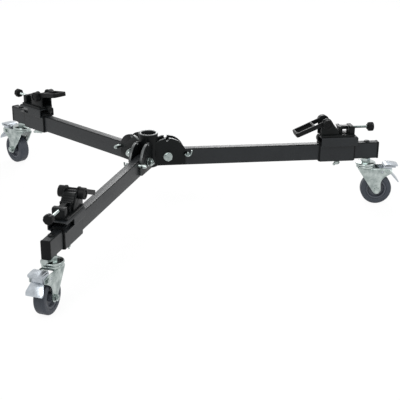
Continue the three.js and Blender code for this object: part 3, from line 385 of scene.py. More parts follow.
# %% [markdown]
# ## Shared effects
# Grain is the fine texture of a coating or a moulding, and mottle is a slow change in tone that
# keeps a large surface from looking printed. A picture could be wrapped round each piece, but it
# would show its repeats. Both are node groups of noise, and each finish sets its own scale and
# tones.

# %% Grain and mottle
MOTTLE_DETAIL = 5
MOTTLE_ROUGHNESS = 0.6
MOTTLE_SPAN = (0.3, 0.7)


def noise_group(name, inputs, outputs):
    """A node group with noise in object coordinates, whose scale is an input."""
    group = bpy.data.node_groups.new(name, "ShaderNodeTree")
    for label, kind, value in inputs:
        socket = group.interface.new_socket(label, in_out="INPUT", socket_type=kind)
        socket.default_value = value
    for label, kind in outputs:
        group.interface.new_socket(label, in_out="OUTPUT", socket_type=kind)
    given = group.nodes.new("NodeGroupInput")
    result = group.nodes.new("NodeGroupOutput")
    place = group.nodes.new("ShaderNodeTexCoord")
    noise = group.nodes.new("ShaderNodeTexNoise")
    group.links.new(place.outputs["Object"], noise.inputs["Vector"])
    group.links.new(given.outputs["Scale"], noise.inputs["Scale"])
    return group, given, noise, result


def add_grain_group():
    inputs = [("Scale", "NodeSocketFloat", 900.0), ("Detail", "NodeSocketFloat", 3.0)]
    group, given, noise, result = noise_group("Grain", inputs, [("Mask", "NodeSocketFloat")])
    group.links.new(given.outputs["Detail"], noise.inputs["Detail"])
    group.links.new(noise.outputs["Fac"], result.inputs["Mask"])
    return group


def add_mottle_group():
    inputs = [("Scale", "NodeSocketFloat", 18.0), ("Dark", "NodeSocketColor", (0, 0, 0, 1))]
    inputs += [("Light", "NodeSocketColor", (1, 1, 1, 1))]
    outputs = [("Color", "NodeSocketColor"), ("Mask", "NodeSocketFloat")]
    group, given, noise, result = noise_group("Mottle", inputs, outputs)
    ramp = group.nodes.new("ShaderNodeMapRange")
    mix = group.nodes.new("ShaderNodeMix")
    mix.data_type = "RGBA"
    noise.inputs["Detail"].default_value = MOTTLE_DETAIL
    noise.inputs["Roughness"].default_value = MOTTLE_ROUGHNESS
    ramp.inputs["From Min"].default_value = MOTTLE_SPAN[0]
    ramp.inputs["From Max"].default_value = MOTTLE_SPAN[1]
    link = group.links.new
    link(noise.outputs["Fac"], ramp.inputs["Value"])
    link(ramp.outputs["Result"], mix.inputs["Factor"])
    link(given.outputs["Dark"], mix.inputs[6])
    link(given.outputs["Light"], mix.inputs[7])
    link(mix.outputs[2], result.inputs["Color"])
    link(ramp.outputs["Result"], result.inputs["Mask"])
    return group


grain_group = add_grain_group()
mottle_group = add_mottle_group()
print("node groups:", [group.name for group in bpy.data.node_groups])

# %% [markdown]
# ## Finishes
# The frame is powder coated, the casters are zinc plated, and the rest is moulded. Each could have
# its own tangle of nodes, but they differ only in tone, sheen and texture. So a finish is one
# function of two tones, a span of roughness and a fine bump.


# %% Finish function
def finish(name, dark, light, rough, grain, bump, depth=0.1, metallic=0.0, mottle=18.0, gloss=0.5):
    """A material whose tone and roughness follow the mottle and whose bump follows the grain."""
    material = bpy.data.materials.new(name)
    material.use_nodes = True
    tree = material.node_tree
    shader = tree.nodes["Principled BSDF"]
    tone = tree.nodes.new("ShaderNodeGroup")
    tone.node_tree = mottle_group
    tone.inputs["Scale"].default_value = mottle
    tone.inputs["Dark"].default_value = (*dark, 1)
    tone.inputs["Light"].default_value = (*light, 1)
    texture = tree.nodes.new("ShaderNodeGroup")
    texture.node_tree = grain_group
    texture.inputs["Scale"].default_value = grain
    halves = tree.nodes.new("ShaderNodeMix")
    halves.data_type = "FLOAT"
    halves.inputs[0].default_value = 0.5
    spread = tree.nodes.new("ShaderNodeMapRange")
    spread.inputs["To Min"].default_value = rough[0]
    spread.inputs["To Max"].default_value = rough[1]
    raised = tree.nodes.new("ShaderNodeBump")
    raised.inputs["Strength"].default_value = bump
    raised.inputs["Distance"].default_value = depth * mm
    link = tree.links.new
    link(tone.outputs["Color"], shader.inputs["Base Color"])
    link(tone.outputs["Mask"], halves.inputs[2])
    link(texture.outputs["Mask"], halves.inputs[3])
    link(halves.outputs[0], spread.inputs["Value"])
    link(spread.outputs["Result"], shader.inputs["Roughness"])
    link(texture.outputs["Mask"], raised.inputs["Height"])
    link(raised.outputs["Normal"], shader.inputs["Normal"])
    shader.inputs["Metallic"].default_value = metallic
    shader.inputs["Specular IOR Level"].default_value = gloss
    return material


print("a finish blends two tones and one grain")

# %% Coated steel
charcoal = finish(
    "charcoal_powder_coat", dark=(0.0105, 0.0125, 0.0145), light=(0.016, 0.0187, 0.0212),
    rough=(0.36, 0.5), grain=700, bump=0.3, depth=0.2, gloss=0.3,
)
black = finish(
    "black_powder_coat", dark=(0.004, 0.0048, 0.005), light=(0.008, 0.0095, 0.0098),
    rough=(0.3, 0.44), grain=800, bump=0.25, depth=0.2, gloss=0.12,
)
# Painted highlight: a paler coat standing in for the light on plate rims and the hub's top
painted_highlight = finish(
    "painted_highlight_edge", dark=(0.05, 0.055, 0.055), light=(0.15, 0.16, 0.16),
    rough=(0.3, 0.45), grain=700, bump=0.2, metallic=0.4, mottle=70,
)
print("coats:", charcoal.name, black.name, painted_highlight.name)

# %% Mouldings and rubber
moulded = finish(
    "black_moulding", dark=(0.004, 0.0042, 0.0045), light=(0.008, 0.0084, 0.009),
    rough=(0.38, 0.54), grain=1500, bump=0.2, gloss=0.12,
)
tread = finish(
    "grey_tread", dark=(0.03, 0.037, 0.05), light=(0.046, 0.055, 0.072),
    rough=(0.5, 0.68), grain=1300, bump=0.3,
)
core = finish(
    "grey_wheel_core", dark=(0.055, 0.062, 0.078), light=(0.09, 0.1, 0.122),
    rough=(0.4, 0.55), grain=900, bump=0.15,
)
print("mouldings:", moulded.name, tread.name, core.name)

# %% Plated steel
zinc = finish(
    "bright_zinc", dark=(0.19, 0.23, 0.225), light=(0.53, 0.585, 0.565),
    rough=(0.1, 0.28), grain=500, bump=0.08, metallic=1.0, mottle=60,
)
pedal_zinc = finish(
    "pale_pedal_zinc", dark=(0.33, 0.36, 0.39), light=(0.52, 0.56, 0.6),
    rough=(0.24, 0.4), grain=600, bump=0.08, metallic=0.9, mottle=60,
)
print("plated:", zinc.name, pedal_zinc.name)

# %% [markdown]
# ## One drawing, three arms
# The three arms are alike, so a piece is drawn once and copied. Linked copies would share one mesh,
# but each place is written into the mesh, so each copy gets its own. It rides on a CAD body and
# stands for the CAD node of the same name.


# %% Placing a finished piece
def put(piece, name, place, body, node, slot_name, *materials):
    """Moves a mesh drawn in millimetres to its place and ties it to the frame."""
    piece.name = name
    piece.data.name = name
    piece.data.transform(Matrix.Scale(mm, 4) @ place)
    for material in materials:
        piece.data.materials.append(material)
    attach(piece, body)
    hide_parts(node)


def on_each_arm(piece, kind, group, body, slot_name, *materials, node=None):
    """Copies a piece to the three arms and removes the drawing."""
    faces = len(piece.data.polygons)
    for arm in arms:
        only(piece)
        bpy.ops.object.duplicate()
        copy = bpy.context.active_object
        rides_on = body if body == "hub" else f"{arm}_{body}"
        name = f"{arm}_{kind}_shape"
        cad_node = f"{arm}_{node or kind}"
        put(copy, name, frames[arm][group], rides_on, cad_node, slot_name, *materials)
    bpy.data.objects.remove(piece)
    print(kind, "has", faces, "faces")


print("pieces go to:", ", ".join(arms))

# %% [markdown]
# ## The hub
# The hub is a thick tube with a ring round its top. A cylinder with a hole cut in it would do, but
# its rims would stay sharp. A spun profile has the ring, the bore and every broken edge in one line.

# %% Centre tube
HUB_TOP = 56.5
HUB_BASE = -23.2
HUB_BORE = 17
HUB_RADIUS = 22.4
RING_RADIUS = 22.9
RIM_EDGE = 1.2
FOOT_EDGE = 0.8


def in_two_coats(piece, main, other, is_other):
    """Gives the faces that pass a test another coat."""
    piece.data.materials.append(main)
    piece.data.materials.append(other)
    for face in piece.data.polygons:
        face.material_index = int(is_other(face))
    return piece


near = RIM_EDGE / 3
hub_line = [(HUB_BORE, HUB_BASE + FOOT_EDGE), (HUB_BORE + FOOT_EDGE, HUB_BASE)]
hub_line += [(HUB_RADIUS - FOOT_EDGE, HUB_BASE), (HUB_RADIUS, HUB_BASE + FOOT_EDGE)]
hub_line += [(HUB_RADIUS, HUB_TOP - 5), (RING_RADIUS, HUB_TOP - 4.5), (RING_RADIUS, HUB_TOP - RIM_EDGE)]
hub_line += [(RING_RADIUS - near, HUB_TOP - near), (RING_RADIUS - RIM_EDGE, HUB_TOP)]
hub_line += [(HUB_BORE + RIM_EDGE, HUB_TOP), (HUB_BORE + near, HUB_TOP - near)]
hub_line += [(HUB_BORE, HUB_TOP - RIM_EDGE), hub_line[0]]
hub_tube = shaded(spun(hub_line, sides=96))
# The faces of the top rim get the paler coat: a painted highlight.
in_two_coats(hub_tube, black, painted_highlight, lambda face: face.center.z > HUB_TOP - RIM_EDGE)
print("hub tube:", len(hub_tube.data.polygons), "faces")

# %% [markdown]
# ## Sector plates
# Between each pair of plates an arm swings up. The rim has two notches for the lock pin, one for the
# arm down and one for it up. A disc could be trimmed, but one drawn arc keeps the rim free of short
# edges. The rims catch bright light, so the narrow faces get a paler coat of their own: a painted
# highlight.

# %% Sector plates
PLATE_INNER = 10.6
PLATE_OUTER = 16.6
PLATE_RADIUS = 44
PLATE_FLAT_X = 41.4
PLATE_BASE = -21
PLATE_ROOT = -29
BOLT_RADIUS = 5
BOLT_HOLE = 5.3
PIN_RADIUS = 3.5
PIN_SEAT = (40.888, 5.819)
FOLD = radians(85)
ACROSS = 20


def turned_point(point, angle):
    x, z = point
    return (x * cos(angle) - z * sin(angle), x * sin(angle) + z * cos(angle))


def notch(fold):
    """A slot from the pin's seat out past the rim."""
    seat_place = turned_point(PIN_SEAT, fold - DROOP)
    outside = turned_point((PLATE_RADIUS + 8, PIN_SEAT[1]), fold - DROOP)
    return side_sheet(slot_line(seat_place, outside, PIN_RADIUS + SEAT), -ACROSS, ACROSS)


def sector_plate(y0, y1):
    outline = [(PLATE_ROOT, PLATE_BASE), (PLATE_FLAT_X, PLATE_BASE)]
    outline += arc((0, 0), PLATE_RADIUS, 19.8, 129.4, 40) + [(PLATE_ROOT, 34)]
    hole = rod(BOLT_HOLE, -ACROSS, ACROSS, "y", sides=40)
    plate = cut(side_sheet(outline, y0, y1), notch(0), notch(FOLD), hole)
    plate = softened(tidy_shell(plate), 0.7)
    # The narrow faces of the rim get the paler coat: a painted highlight.
    return in_two_coats(plate, black, painted_highlight, lambda face: abs(face.normal.y) <= 0.8)


plates = []
for i in range(len(arms)):
    turn = turned_by(i * 2 * pi / len(arms), "Z") @ moved(HUB_TO_PIVOT, 0, 0)
    for y0, y1 in ((PLATE_INNER, PLATE_OUTER), (-PLATE_OUTER, -PLATE_INNER)):
        plate = sector_plate(y0, y1)
        plate.data.transform(turn)
        plates.append(plate)
hub_shape = together(hub_tube, *plates)
hub_place = moved(hub_axis.x / mm, hub_axis.y / mm, frames["right"]["pivot"].translation.z)
put(hub_shape, "hub_frame_shape", hub_place, "hub", "hub_frame", "black_paint")
print("hub frame:", len(hub_shape.data.polygons), "faces")

# %% [markdown]
# ## Fold bolts
# Each arm hangs on a bolt with two washers and a lock nut. A plain six-sided cylinder looks like a
# toy, because a real nut is turned down at its corners. So a hexagon is kept only inside a turned
# shape. The thread is a stack of ridges and not a helix, which looks the same and is easy to close.

# %% Hexagons and threads
THREAD_DEPTH = 0.55


def hexagon(across, start, end, axis="z", place=(0, 0, 0), start_edge=0.8, end_edge=0.8):
    """A hexagonal block with its corners turned down at either end."""
    corner = across / 2 / cos(pi / 6)
    sixths = [i * pi / 3 for i in range(6)]
    outline = [(corner * sin(a), -corner * cos(a)) for a in sixths]
    turned = [(0, start), (corner - 2 * start_edge, start), (corner + 0.1, start + 1.2 * start_edge)]
    turned += [(corner + 0.1, end - 1.2 * end_edge), (corner - 2 * end_edge, end), (0, end)]
    block = kept_inside(flat_sheet(outline, start, end), spun(turned))
    block.data.transform(moved(*place) @ TO_AXIS[axis])
    return shaded(block, 20)


def threaded(radius, start, end, pitch=1.25, axis="z", place=(0, 0, 0)):
    """A bar with the ridges of a thread."""
    profile = [(0, start), (radius - 0.5, start)]
    ridge = start + pitch / 2
    while ridge < end - pitch / 2:
        profile += [(radius, ridge), (radius - THREAD_DEPTH, ridge + pitch / 2)]
        ridge += pitch
    profile += [(radius - 0.5, end), (0, end)]
    return spun(profile, axis, place)


print("threads are", THREAD_DEPTH, "mm deep")

# %% Fold bolt
WASHER = 1.6
WASHER_RADIUS = 10.5
BOLT_ACROSS = 17
BOLT_HEAD = 6.5
LOCK_NUT = 6
THREAD_START = 26
LAP = 0.1

washer_in = PLATE_OUTER + SEAT
washer_out = washer_in + WASHER
nut_end = washer_out + LOCK_NUT
pivot_bolt = together(
    rounded_rod(WASHER_RADIUS, -washer_out, -washer_in, "y", edge=0.4),
    rounded_rod(WASHER_RADIUS, washer_in, washer_out, "y", edge=0.4),
    hexagon(BOLT_ACROSS, -washer_out - BOLT_HEAD, -washer_out, "y", end_edge=LAP),
    hexagon(BOLT_ACROSS, washer_out, nut_end, "y", start_edge=LAP, end_edge=0.5),
    rounded_rod(7.3, nut_end - LAP, nut_end + 3, "y", edge=1),
    rod(BOLT_RADIUS, -ACROSS, THREAD_START, "y"),
    threaded(BOLT_RADIUS, THREAD_START, washer_out + 12, axis="y"),
)
on_each_arm(pivot_bolt, "pivot_bolt", "pivot", "hub", "zinc", zinc)

# %% [markdown]
# ## Lock pins
# A cross pin holds the arm in its notch, with a turned handle on the far side and a bent wire hook
# on the near side. The hook could be a piece of a torus, but a real one is not a true arc. A wire
# swept along a curve of four points gives its open bend.

# %% Lock pin
HOOK = ((-8, 1), (-4, -8), (8, -8), (8, 9))
HOOK_WIRE = 1.9
HOOK_STEPS = 20
PIN_NEAR = PLATE_OUTER + 3.2
PIN_FAR = PLATE_OUTER + 0.8
HANDLE = 10


def swept_wire(points, y, radius, steps):
    """A round wire along a curve drawn by four points in x and z."""
    curve = bpy.data.curves.new("wire", "CURVE")
    curve.dimensions = "3D"
    curve.bevel_depth = radius
    curve.bevel_resolution = 5
    curve.use_fill_caps = True
    spline = curve.splines.new("POLY")
    spline.points.add(steps)
    for i, point in enumerate(spline.points):
        t = i / steps
        weights = ((1 - t) ** 3, 3 * t * (1 - t) ** 2, 3 * t * t * (1 - t), t**3)
        x, z = (sum(w * p[k] for w, p in zip(weights, points)) for k in (0, 1))
        point.co = (x, y, z, 1)
    return tidy_shell(as_mesh("wire", curve))


hook = swept_wire(HOOK, -PIN_NEAR - HOOK_WIRE / 2, HOOK_WIRE, HOOK_STEPS)
lock_pin = together(
    rounded_rod(PIN_RADIUS, -PIN_NEAR, PIN_FAR + HANDLE + 2.5, "y"),
    rounded_rod(4.6, PIN_FAR, PIN_FAR + HANDLE, "y", edge=0.8),
    softened(hook, 0.5, 2, 60, 50),
)
on_each_arm(lock_pin, "lock_pin", "pin", "pin", "zinc", zinc)

# %% [markdown]
# ## Arm tubes
# Each arm is a tube with round corners, a clipped heel and a slot for the lock pin. A bevelled box
# would be quick, but the wall shows at the heel, so a hollow section is drawn out. A thin dark line
# of shade runs between the pale top and the side, so the upper corners wear the darker coat:
# painted shade.

# %% Arm tube
ARM_REACH = 515
TUBE_HALF = 10
TUBE_WALL = 2
TUBE_HEEL = -11
STEM_RADIUS = 6

inside = (TUBE_HALF - TUBE_WALL, TUBE_BASE + TUBE_WALL, TUBE_TOP - TUBE_WALL)
section = round_box(-TUBE_HALF, TUBE_HALF, TUBE_BASE, TUBE_TOP, 2.5)
hollow_section = round_box(-inside[0], inside[0], inside[1], inside[2], 0.6)
clip_x, clip_z = TUBE_HEEL - OVERRUN, TUBE_TOP + OVERRUN
clip_line = [(clip_x, clip_z - 16), (clip_x + 16, clip_z), (clip_x, clip_z)]
slot_ends = ((PIN_SEAT[0] - SEAT, PIN_SEAT[1]), (FREE_PIN[0] + SEAT, FREE_PIN[1]))
stem_hole = rod(STEM_RADIUS + RUN, -60, 60)
stem_hole.data.transform(moved(CASTER_PLACE, 0, TUBE_BASE) @ turned_by(-DROOP, "Y"))
arm_tube = cut(
    long_bar(section, TUBE_HEEL, ARM_REACH),
    long_bar(hollow_section, TUBE_HEEL - OVERRUN, ARM_REACH + OVERRUN),
    side_sheet(clip_line, -14, 14),
    rod(BOLT_HOLE, -15, 15, "y"),
    side_sheet(slot_line(*slot_ends, PIN_RADIUS + RUN), -15, 15),
    stem_hole,
)
arm_tube = softened(tidy_shell(arm_tube), 0.3, 1, 40, 24)


def is_shaded_upper_corner(face):
    turned = min(abs(face.normal.y), abs(face.normal.z)) > 0.2
    return turned and abs(face.center.y) > 8.5 and face.center.z > TUBE_TOP - 2.6


# Painted shade: the upper corners get the black coat.
in_two_coats(arm_tube, charcoal, black, is_shaded_upper_corner)
on_each_arm(arm_tube, "arm_tube", "tube", "arm", "arm_paint")

# %% [markdown]
# ## End caps
# A moulded plug closes the tube's outer end, and only its flange shows. One block would look right
# too, but the flange has softer edges than the plug, so they are two shells of one object.

# %% End cap
CAP_PROUD = 0.7

cap_start = ARM_REACH + SEAT
cap_half = TUBE_HALF + CAP_PROUD
plug_half = TUBE_HALF - TUBE_WALL - SEAT
flange_line = round_box(-cap_half, cap_half, TUBE_BASE - CAP_PROUD, TUBE_TOP + CAP_PROUD, 3)
plug_line = round_box(-plug_half, plug_half, inside[1] + SEAT, inside[2] - SEAT, 0.8)
end_cap = together(
    softened(long_bar(flange_line, cap_start, cap_start + 4), 1.1, 3),
    long_bar(plug_line, ARM_REACH - 12, cap_start + 2),
)
on_each_arm(end_cap, "end_cap", "tube", "arm", "black_plastic", moulded)

# %% [markdown]
# ## Carriages
# The clamp slides on the tube in a sleeve of bent sheet, under a wider hollow head. It could be two
# boxes, but the real sides flow out into the head with a soft bend. So the whole section is drawn
# out, and then its openings are cut.

# %% Carriage
HEAD_END = 90.5
HEAD_HALF = 21.5
HEAD_TOP = 18.5
HEAD_WALL = 2.5
HEAD_CORNER = 5
HEAD_NOSE = 3.5
SKIRT = -3
SKIRT_BEND = 5
SKIRT_LIP = 1.8
SLEEVE = 13.6
SLEEVE_LENGTH = 84
SLEEVE_FLOOR = -43.6
SLEEVE_ROOF = 3.6
SHEET = 2
BOSS_DEPTH = 3
WING_ROD = 4

head_end = HEAD_END + OVERRUN
head_side = HEAD_HALF + OVERRUN
chamber_base = SKIRT + HEAD_WALL
corner_place = (HEAD_HALF - HEAD_CORNER, HEAD_TOP - HEAD_CORNER)


def carriage_section():
    """The outline of sleeve and head together, in y and z."""
    lip_start = (HEAD_HALF - SKIRT_LIP, SKIRT)
    right = arc((SLEEVE - SHEET, SLEEVE_FLOOR + SHEET), SHEET, -90, 0, 6)
    right += bend((SLEEVE, SKIRT - SKIRT_BEND), (SLEEVE, SKIRT), lip_start)
    right += bend(lip_start, (HEAD_HALF, SKIRT), (HEAD_HALF, SKIRT + SKIRT_LIP), 4)[1:]
    return both_sides(right + arc(corner_place, HEAD_CORNER, 0, 90, 10))


def head_chamber():
    """The hollow under the head's roof, in y and z."""
    right = [(SLEEVE, chamber_base), (HEAD_HALF - HEAD_WALL, chamber_base)]
    right += arc(corner_place, HEAD_CORNER - HEAD_WALL, 0, 90, 6)
    return both_sides(right) + [(-SLEEVE, SLEEVE_ROOF), (SLEEVE, SLEEVE_ROOF)]


nose_place = (HEAD_END - HEAD_NOSE, HEAD_TOP - HEAD_NOSE)
nose_line = arc(nose_place, HEAD_NOSE, 90, 0, 10) + [(head_end, nose_place[1])]
nose_line += [(head_end, HEAD_TOP + OVERRUN), (nose_place[0], HEAD_TOP + OVERRUN)]
tunnel = (SHEET - SLEEVE, SLEEVE - SHEET, SLEEVE_FLOOR + SHEET, SLEEVE_ROOF - SHEET)
wing_at = (WING_PLACE, 0, 0)
boss_base = SLEEVE_FLOOR - BOSS_DEPTH
sleeve_side = SLEEVE + SEAT
open_end = (SKIRT - SKIRT_BEND - OVERRUN, SLEEVE_ROOF + SEAT)
side_opening = (chamber_base, HEAD_TOP - HEAD_CORNER)
carriage = cut(
    long_bar(carriage_section(), 0, HEAD_END),
    box_shape(-OVERRUN, head_end, *tunnel),
    long_bar(head_chamber(), -OVERRUN, head_end),
    box_shape(SLEEVE_LENGTH, head_end, -head_side, head_side, boss_base, SKIRT - SKIRT_BEND),
    box_shape(SLEEVE_LENGTH, head_end, -sleeve_side, sleeve_side, *open_end),
    box_shape(HEAD_END - 36, head_end, sleeve_side, head_side, *side_opening),
    side_sheet(nose_line, -head_side, head_side),
)
carriage = welded(carriage, rod(7.5, boss_base, SLEEVE_FLOOR + SEAT, place=wing_at))
wing_hole = rod(WING_ROD + RUN, boss_base - OVERRUN, SLEEVE_FLOOR + SHEET + SEAT, place=wing_at)
carriage = softened(tidy_shell(cut(carriage, wing_hole)), 0.4, 2, 34, 30)
on_each_arm(carriage, "carriage", "slider", "slider", "arm_paint", charcoal)

# %% [markdown]
# ## Liners
# A moulded liner keeps steel off steel, and shows as a dark lip at both ends of the sleeve. A painted
# stripe would be less work, but the lip stands proud and casts a line of shadow, so it is modelled.

# %% Liner
LIP = 2.6
LIP_RISE = 1.4
TUBE_HEIGHT = TUBE_TOP - TUBE_BASE

liner_half = SLEEVE - SHEET - SEAT
liner_base = SLEEVE_FLOOR + SHEET + SEAT
liner_roof = SLEEVE_ROOF - SHEET - SEAT
lip_half = liner_half + LIP_RISE
liner_line = round_box(-liner_half, liner_half, liner_base, liner_roof, 1)
lip_line = round_box(-lip_half, lip_half, liner_base - LIP_RISE, liner_roof + LIP_RISE, 2)
lip_starts = (-SEAT - LIP, SLEEVE_LENGTH + SEAT)
bore_half = TUBE_HALF + SEAT
liner_bore = (-bore_half, bore_half, -TUBE_HEIGHT - SEAT, SEAT)
liner = cut(
    welded(
        long_bar(liner_line, lip_starts[0], lip_starts[1] + LIP),
        *[long_bar(lip_line, x, x + LIP) for x in lip_starts],
    ),
    box_shape(lip_starts[0] - OVERRUN, lip_starts[1] + LIP + OVERRUN, *liner_bore),
    rod(WING_ROD + RUN, boss_base - OVERRUN, -TUBE_HEIGHT / 2, place=wing_at),
)
liner = softened(tidy_shell(liner), 0.4, 2)
on_each_arm(liner, "carriage_liner", "slider", "slider", "black_plastic", moulded)

# %% [markdown]
# ## Wing screws
# A wing screw under the sleeve holds the carriage in place. Its cast wings could be sculpted, but at
# this size an outline with two soft bends and a generous bevel looks the same.

# %% Wing screw
WING_HEAD = -46.9
WING_SPAN = 12.5
WING_SHOULDER = (5, WING_HEAD - 2)
WING_TIP = (WING_SPAN, WING_HEAD - 6)
WING_FOOT = (8, WING_HEAD - 9.3)

wing_line = [WING_SHOULDER]
wing_line += bend(WING_SHOULDER, (WING_SPAN, WING_SHOULDER[1]), WING_TIP)[1:]
wing_line += bend(WING_TIP, (WING_SPAN, WING_FOOT[1]), WING_FOOT)[1:] + [(0, WING_HEAD - 7)]
wing_line += [(-x, z) for x, z in reversed(wing_line[:-1])]
wing_screw = together(
    threaded(WING_ROD, WING_HEAD - OVERRUN, -TUBE_HEIGHT - RUN),
    rounded_rod(5.8, WING_HEAD - 7.5, WING_HEAD, edge=0.8),
    softened(side_sheet(wing_line, -1.6, 1.6), 0.9, 3),
)
on_each_arm(wing_screw, "wing_screw", "wing", "wing", "zinc", zinc)

# %% [markdown]
# ## Clamp brackets
# On the head sits a thick plate with two cheeks for the lever and a block for the jaw screw, all
# welded from flat stock. One block could be cut down, but a bevel would then eat into the seams. So
# each part is an outline with a thickness, bevelled before the joining.

# %% Clamp bracket
BRACKET = (1, 82.5)
BRACKET_HALF = 19.5
FLOOR_BASE = HEAD_TOP + SEAT
FLOOR_TOP = 23.8
CHEEK_INNER = 12.8
CHEEK_OUTER = 15.8
CHEEK_RADIUS = 13.5
SCREW_RADIUS = 3
BLOCK_START = 69.8
BLOCK_TOP = 43.3

floor_middle = (FLOOR_BASE + FLOOR_TOP) / 2
shaft_at = (LEVER_PIVOT[0], 0, LEVER_PIVOT[1])
screw_at = (0, 0, SCREW_HEIGHT)
floor_line = round_box(*BRACKET, -BRACKET_HALF, BRACKET_HALF, 2.5)
base_plate = softened(flat_sheet(floor_line, FLOOR_BASE, FLOOR_TOP), 0.8, 3)
cheek_line = [(LEVER_PIVOT[0] - CHEEK_RADIUS, floor_middle), (43.5, floor_middle)]
cheek_line += [(43.5, FLOOR_TOP), (42, 31.8), (24.7, 54.2)]
cheek_line += arc(LEVER_PIVOT, CHEEK_RADIUS, 11.54, 180, 28)
cheeks = []
for y0, y1 in ((CHEEK_INNER, CHEEK_OUTER), (-CHEEK_OUTER, -CHEEK_INNER)):
    cheek = cut(side_sheet(cheek_line, y0, y1), rod(5, -ACROSS, ACROSS, "y", shaft_at))
    cheeks.append(softened(tidy_shell(cheek), 0.5, 2))
block_line = [(BLOCK_START, floor_middle), (BRACKET[1], floor_middle), (BRACKET[1], BLOCK_TOP - 3)]
block_line += [(BRACKET[1] - 3, BLOCK_TOP), (BLOCK_START, BLOCK_TOP)]
screw_hole = rod(SCREW_RADIUS + RUN, 60, 90, "x", screw_at)
rear_block = cut(side_sheet(block_line, -14, 14), screw_hole)
clamp_bracket = together(base_plate, *cheeks, softened(tidy_shell(rear_block), 0.8, 3))
on_each_arm(clamp_bracket, "clamp_bracket", "slider", "slider", "black_paint", black)

# %% [markdown]
# ## Clamp levers
# The lever is one moulding: two drums on a shaft, a paddle with a sunk grip, and a cam between the
# cheeks that pushes the inner jaw. An off-centre disc would push unevenly. So the cam is worked out
# point by point, and its distance to its own tangent falls in step with the angle.

# %% Drums and cam
DRUM = (16.3, 28.8)
SWING = radians(110)
CAM_THROW = 3
CAM_REACH = 8.5
CAM_STEPS = 24


def drum(side):
    near, far = (y * side for y in DRUM)
    line = [(0, near), (11.7, near), (12.3, near + 0.6 * side), (12.3, far - 0.9 * side)]
    line += [(12, far - 0.3 * side), (11.3, far), (8, far), (7.5, far - 0.4 * side)]
    return shaded(spun(line + [(7.5, far - 1.5 * side), (0, far - 1.5 * side)], "y", sides=56))


def cam_line():
    """The working face of the cam, closed behind by an even curve."""
    fall = CAM_THROW / SWING
    points = []
    for i in range(CAM_STEPS + 1):
        angle = LEVER_CLOSED - 0.1 * SWING + 1.2 * SWING * i / CAM_STEPS
        reach = CAM_REACH - fall * (angle - LEVER_CLOSED)
        x = reach * cos(angle) + fall * sin(angle)
        points.append((x, reach * sin(angle) - fall * cos(angle)))
    first, last = points[0], points[-1]
    from_angle = atan2(last[1], last[0])
    to_angle = atan2(first[1], first[0]) + 2 * pi
    start, end = hypot(*last), hypot(*first)
    for i in range(1, CAM_STEPS):
        angle = from_angle + (to_angle - from_angle) * i / CAM_STEPS
        radius = start + (end - start) * i / CAM_STEPS
        points.append((radius * cos(angle), radius * sin(angle)))
    return points


print("the cam moves the jaw", CAM_THROW, "mm over", round(degrees(SWING)), "degrees")

# %% Clamp lever
PADDLE = (-0.5, 10.1)
PADDLE_END = -73
YOKE = (-28, 20)
GRIP_FLOOR = 3.1


def paddle():
    """The yoke and the paddle seen from above, with the grip sunk in."""
    side = [(0, DRUM[0]), (0, YOKE[1]), YOKE, (PADDLE_END, 19)]
    side += arc((PADDLE_END, 13), 6, 90, 180, 12)[1:]
    outline = side + [(x, -y) for x, y in reversed(side)]
    outline += [(YOKE[0], -DRUM[0]), (YOKE[0], DRUM[0])]
    grip = flat_sheet(round_box(PADDLE_END, -34, -14, 14, 3), GRIP_FLOOR, PADDLE[1] + OVERRUN)
    return softened(tidy_shell(cut(flat_sheet(outline, *PADDLE), grip)), 1.2, 3)


shaft = rounded_rod(4.6, -27.9, 27.9, "y")
cam = softened(side_sheet(cam_line(), -12.3, 12.3), 0.4, 2)
clamp_lever = together(paddle(), drum(1), drum(-1), shaft, cam)
on_each_arm(clamp_lever, "clamp_lever", "lever", "lever", "black_plastic", moulded)

# %% [markdown]
# ## Strap springs
# A strap of thin steel curls round the inner end of the clamp. A curve with a bevel would be round
# like wire, so the strap is the space between two arcs, drawn out to its width.

# %% Strap spring
STRAP_CENTRE = (1.9, 14.8)

strap_line = [(7, 3.9), *arc(STRAP_CENTRE, 10.9, -90, -270, 30), (7, 25.7), (7, 24.1)]
strap_line += [*arc(STRAP_CENTRE, 9.3, 90, 270, 30), (7, 5.5)]
strap = softened(side_sheet(strap_line, -12.5, 1.5), 0.3, 2)
on_each_arm(strap, "strap_spring", "slider", "slider", "black_paint", black)

# %% [markdown]
# ## Jaws
# A tripod's foot is gripped between two jaws. A bump in the coat could draw the grooves of the inner
# one, but they show at the edge of the shape, so they are cut. Where a lever is partly open, its
# inner jaw stands back.

# %% Inner jaw
JAW_BASE = 24.1
GROOVES = 4

for arm in arms:
    back = -CAM_THROW * LEVER_OPEN[arm] / SWING
    frames[arm]["inner"] = frames[arm]["slider"] @ moved(back, 0, 0)
jaw_line = [(20.3, JAW_BASE), (44.5, JAW_BASE), (43, 31.8), (24.696, 55.5), (20.3, 55.5)]
grooves = []
for i in range(1, GROOVES + 1):
    share = i / (GROOVES + 1)
    place = (25.7 + 17.3 * share, 0, 54.2 - 22.4 * share)
    grooves.append(rod(0.9, -16, 16, "y", place, 4))
inner_jaw = cut(side_sheet(jaw_line, -12.3, 12.3), *grooves)
inner_jaw = softened(tidy_shell(inner_jaw), 0.3, 2)
on_each_arm(inner_jaw, "inner_jaw", "inner", "inner_jaw_body", "black_paint", black)

# %% Outer jaw
OUTER_END = 68
WINDOW_TOP = 34.5

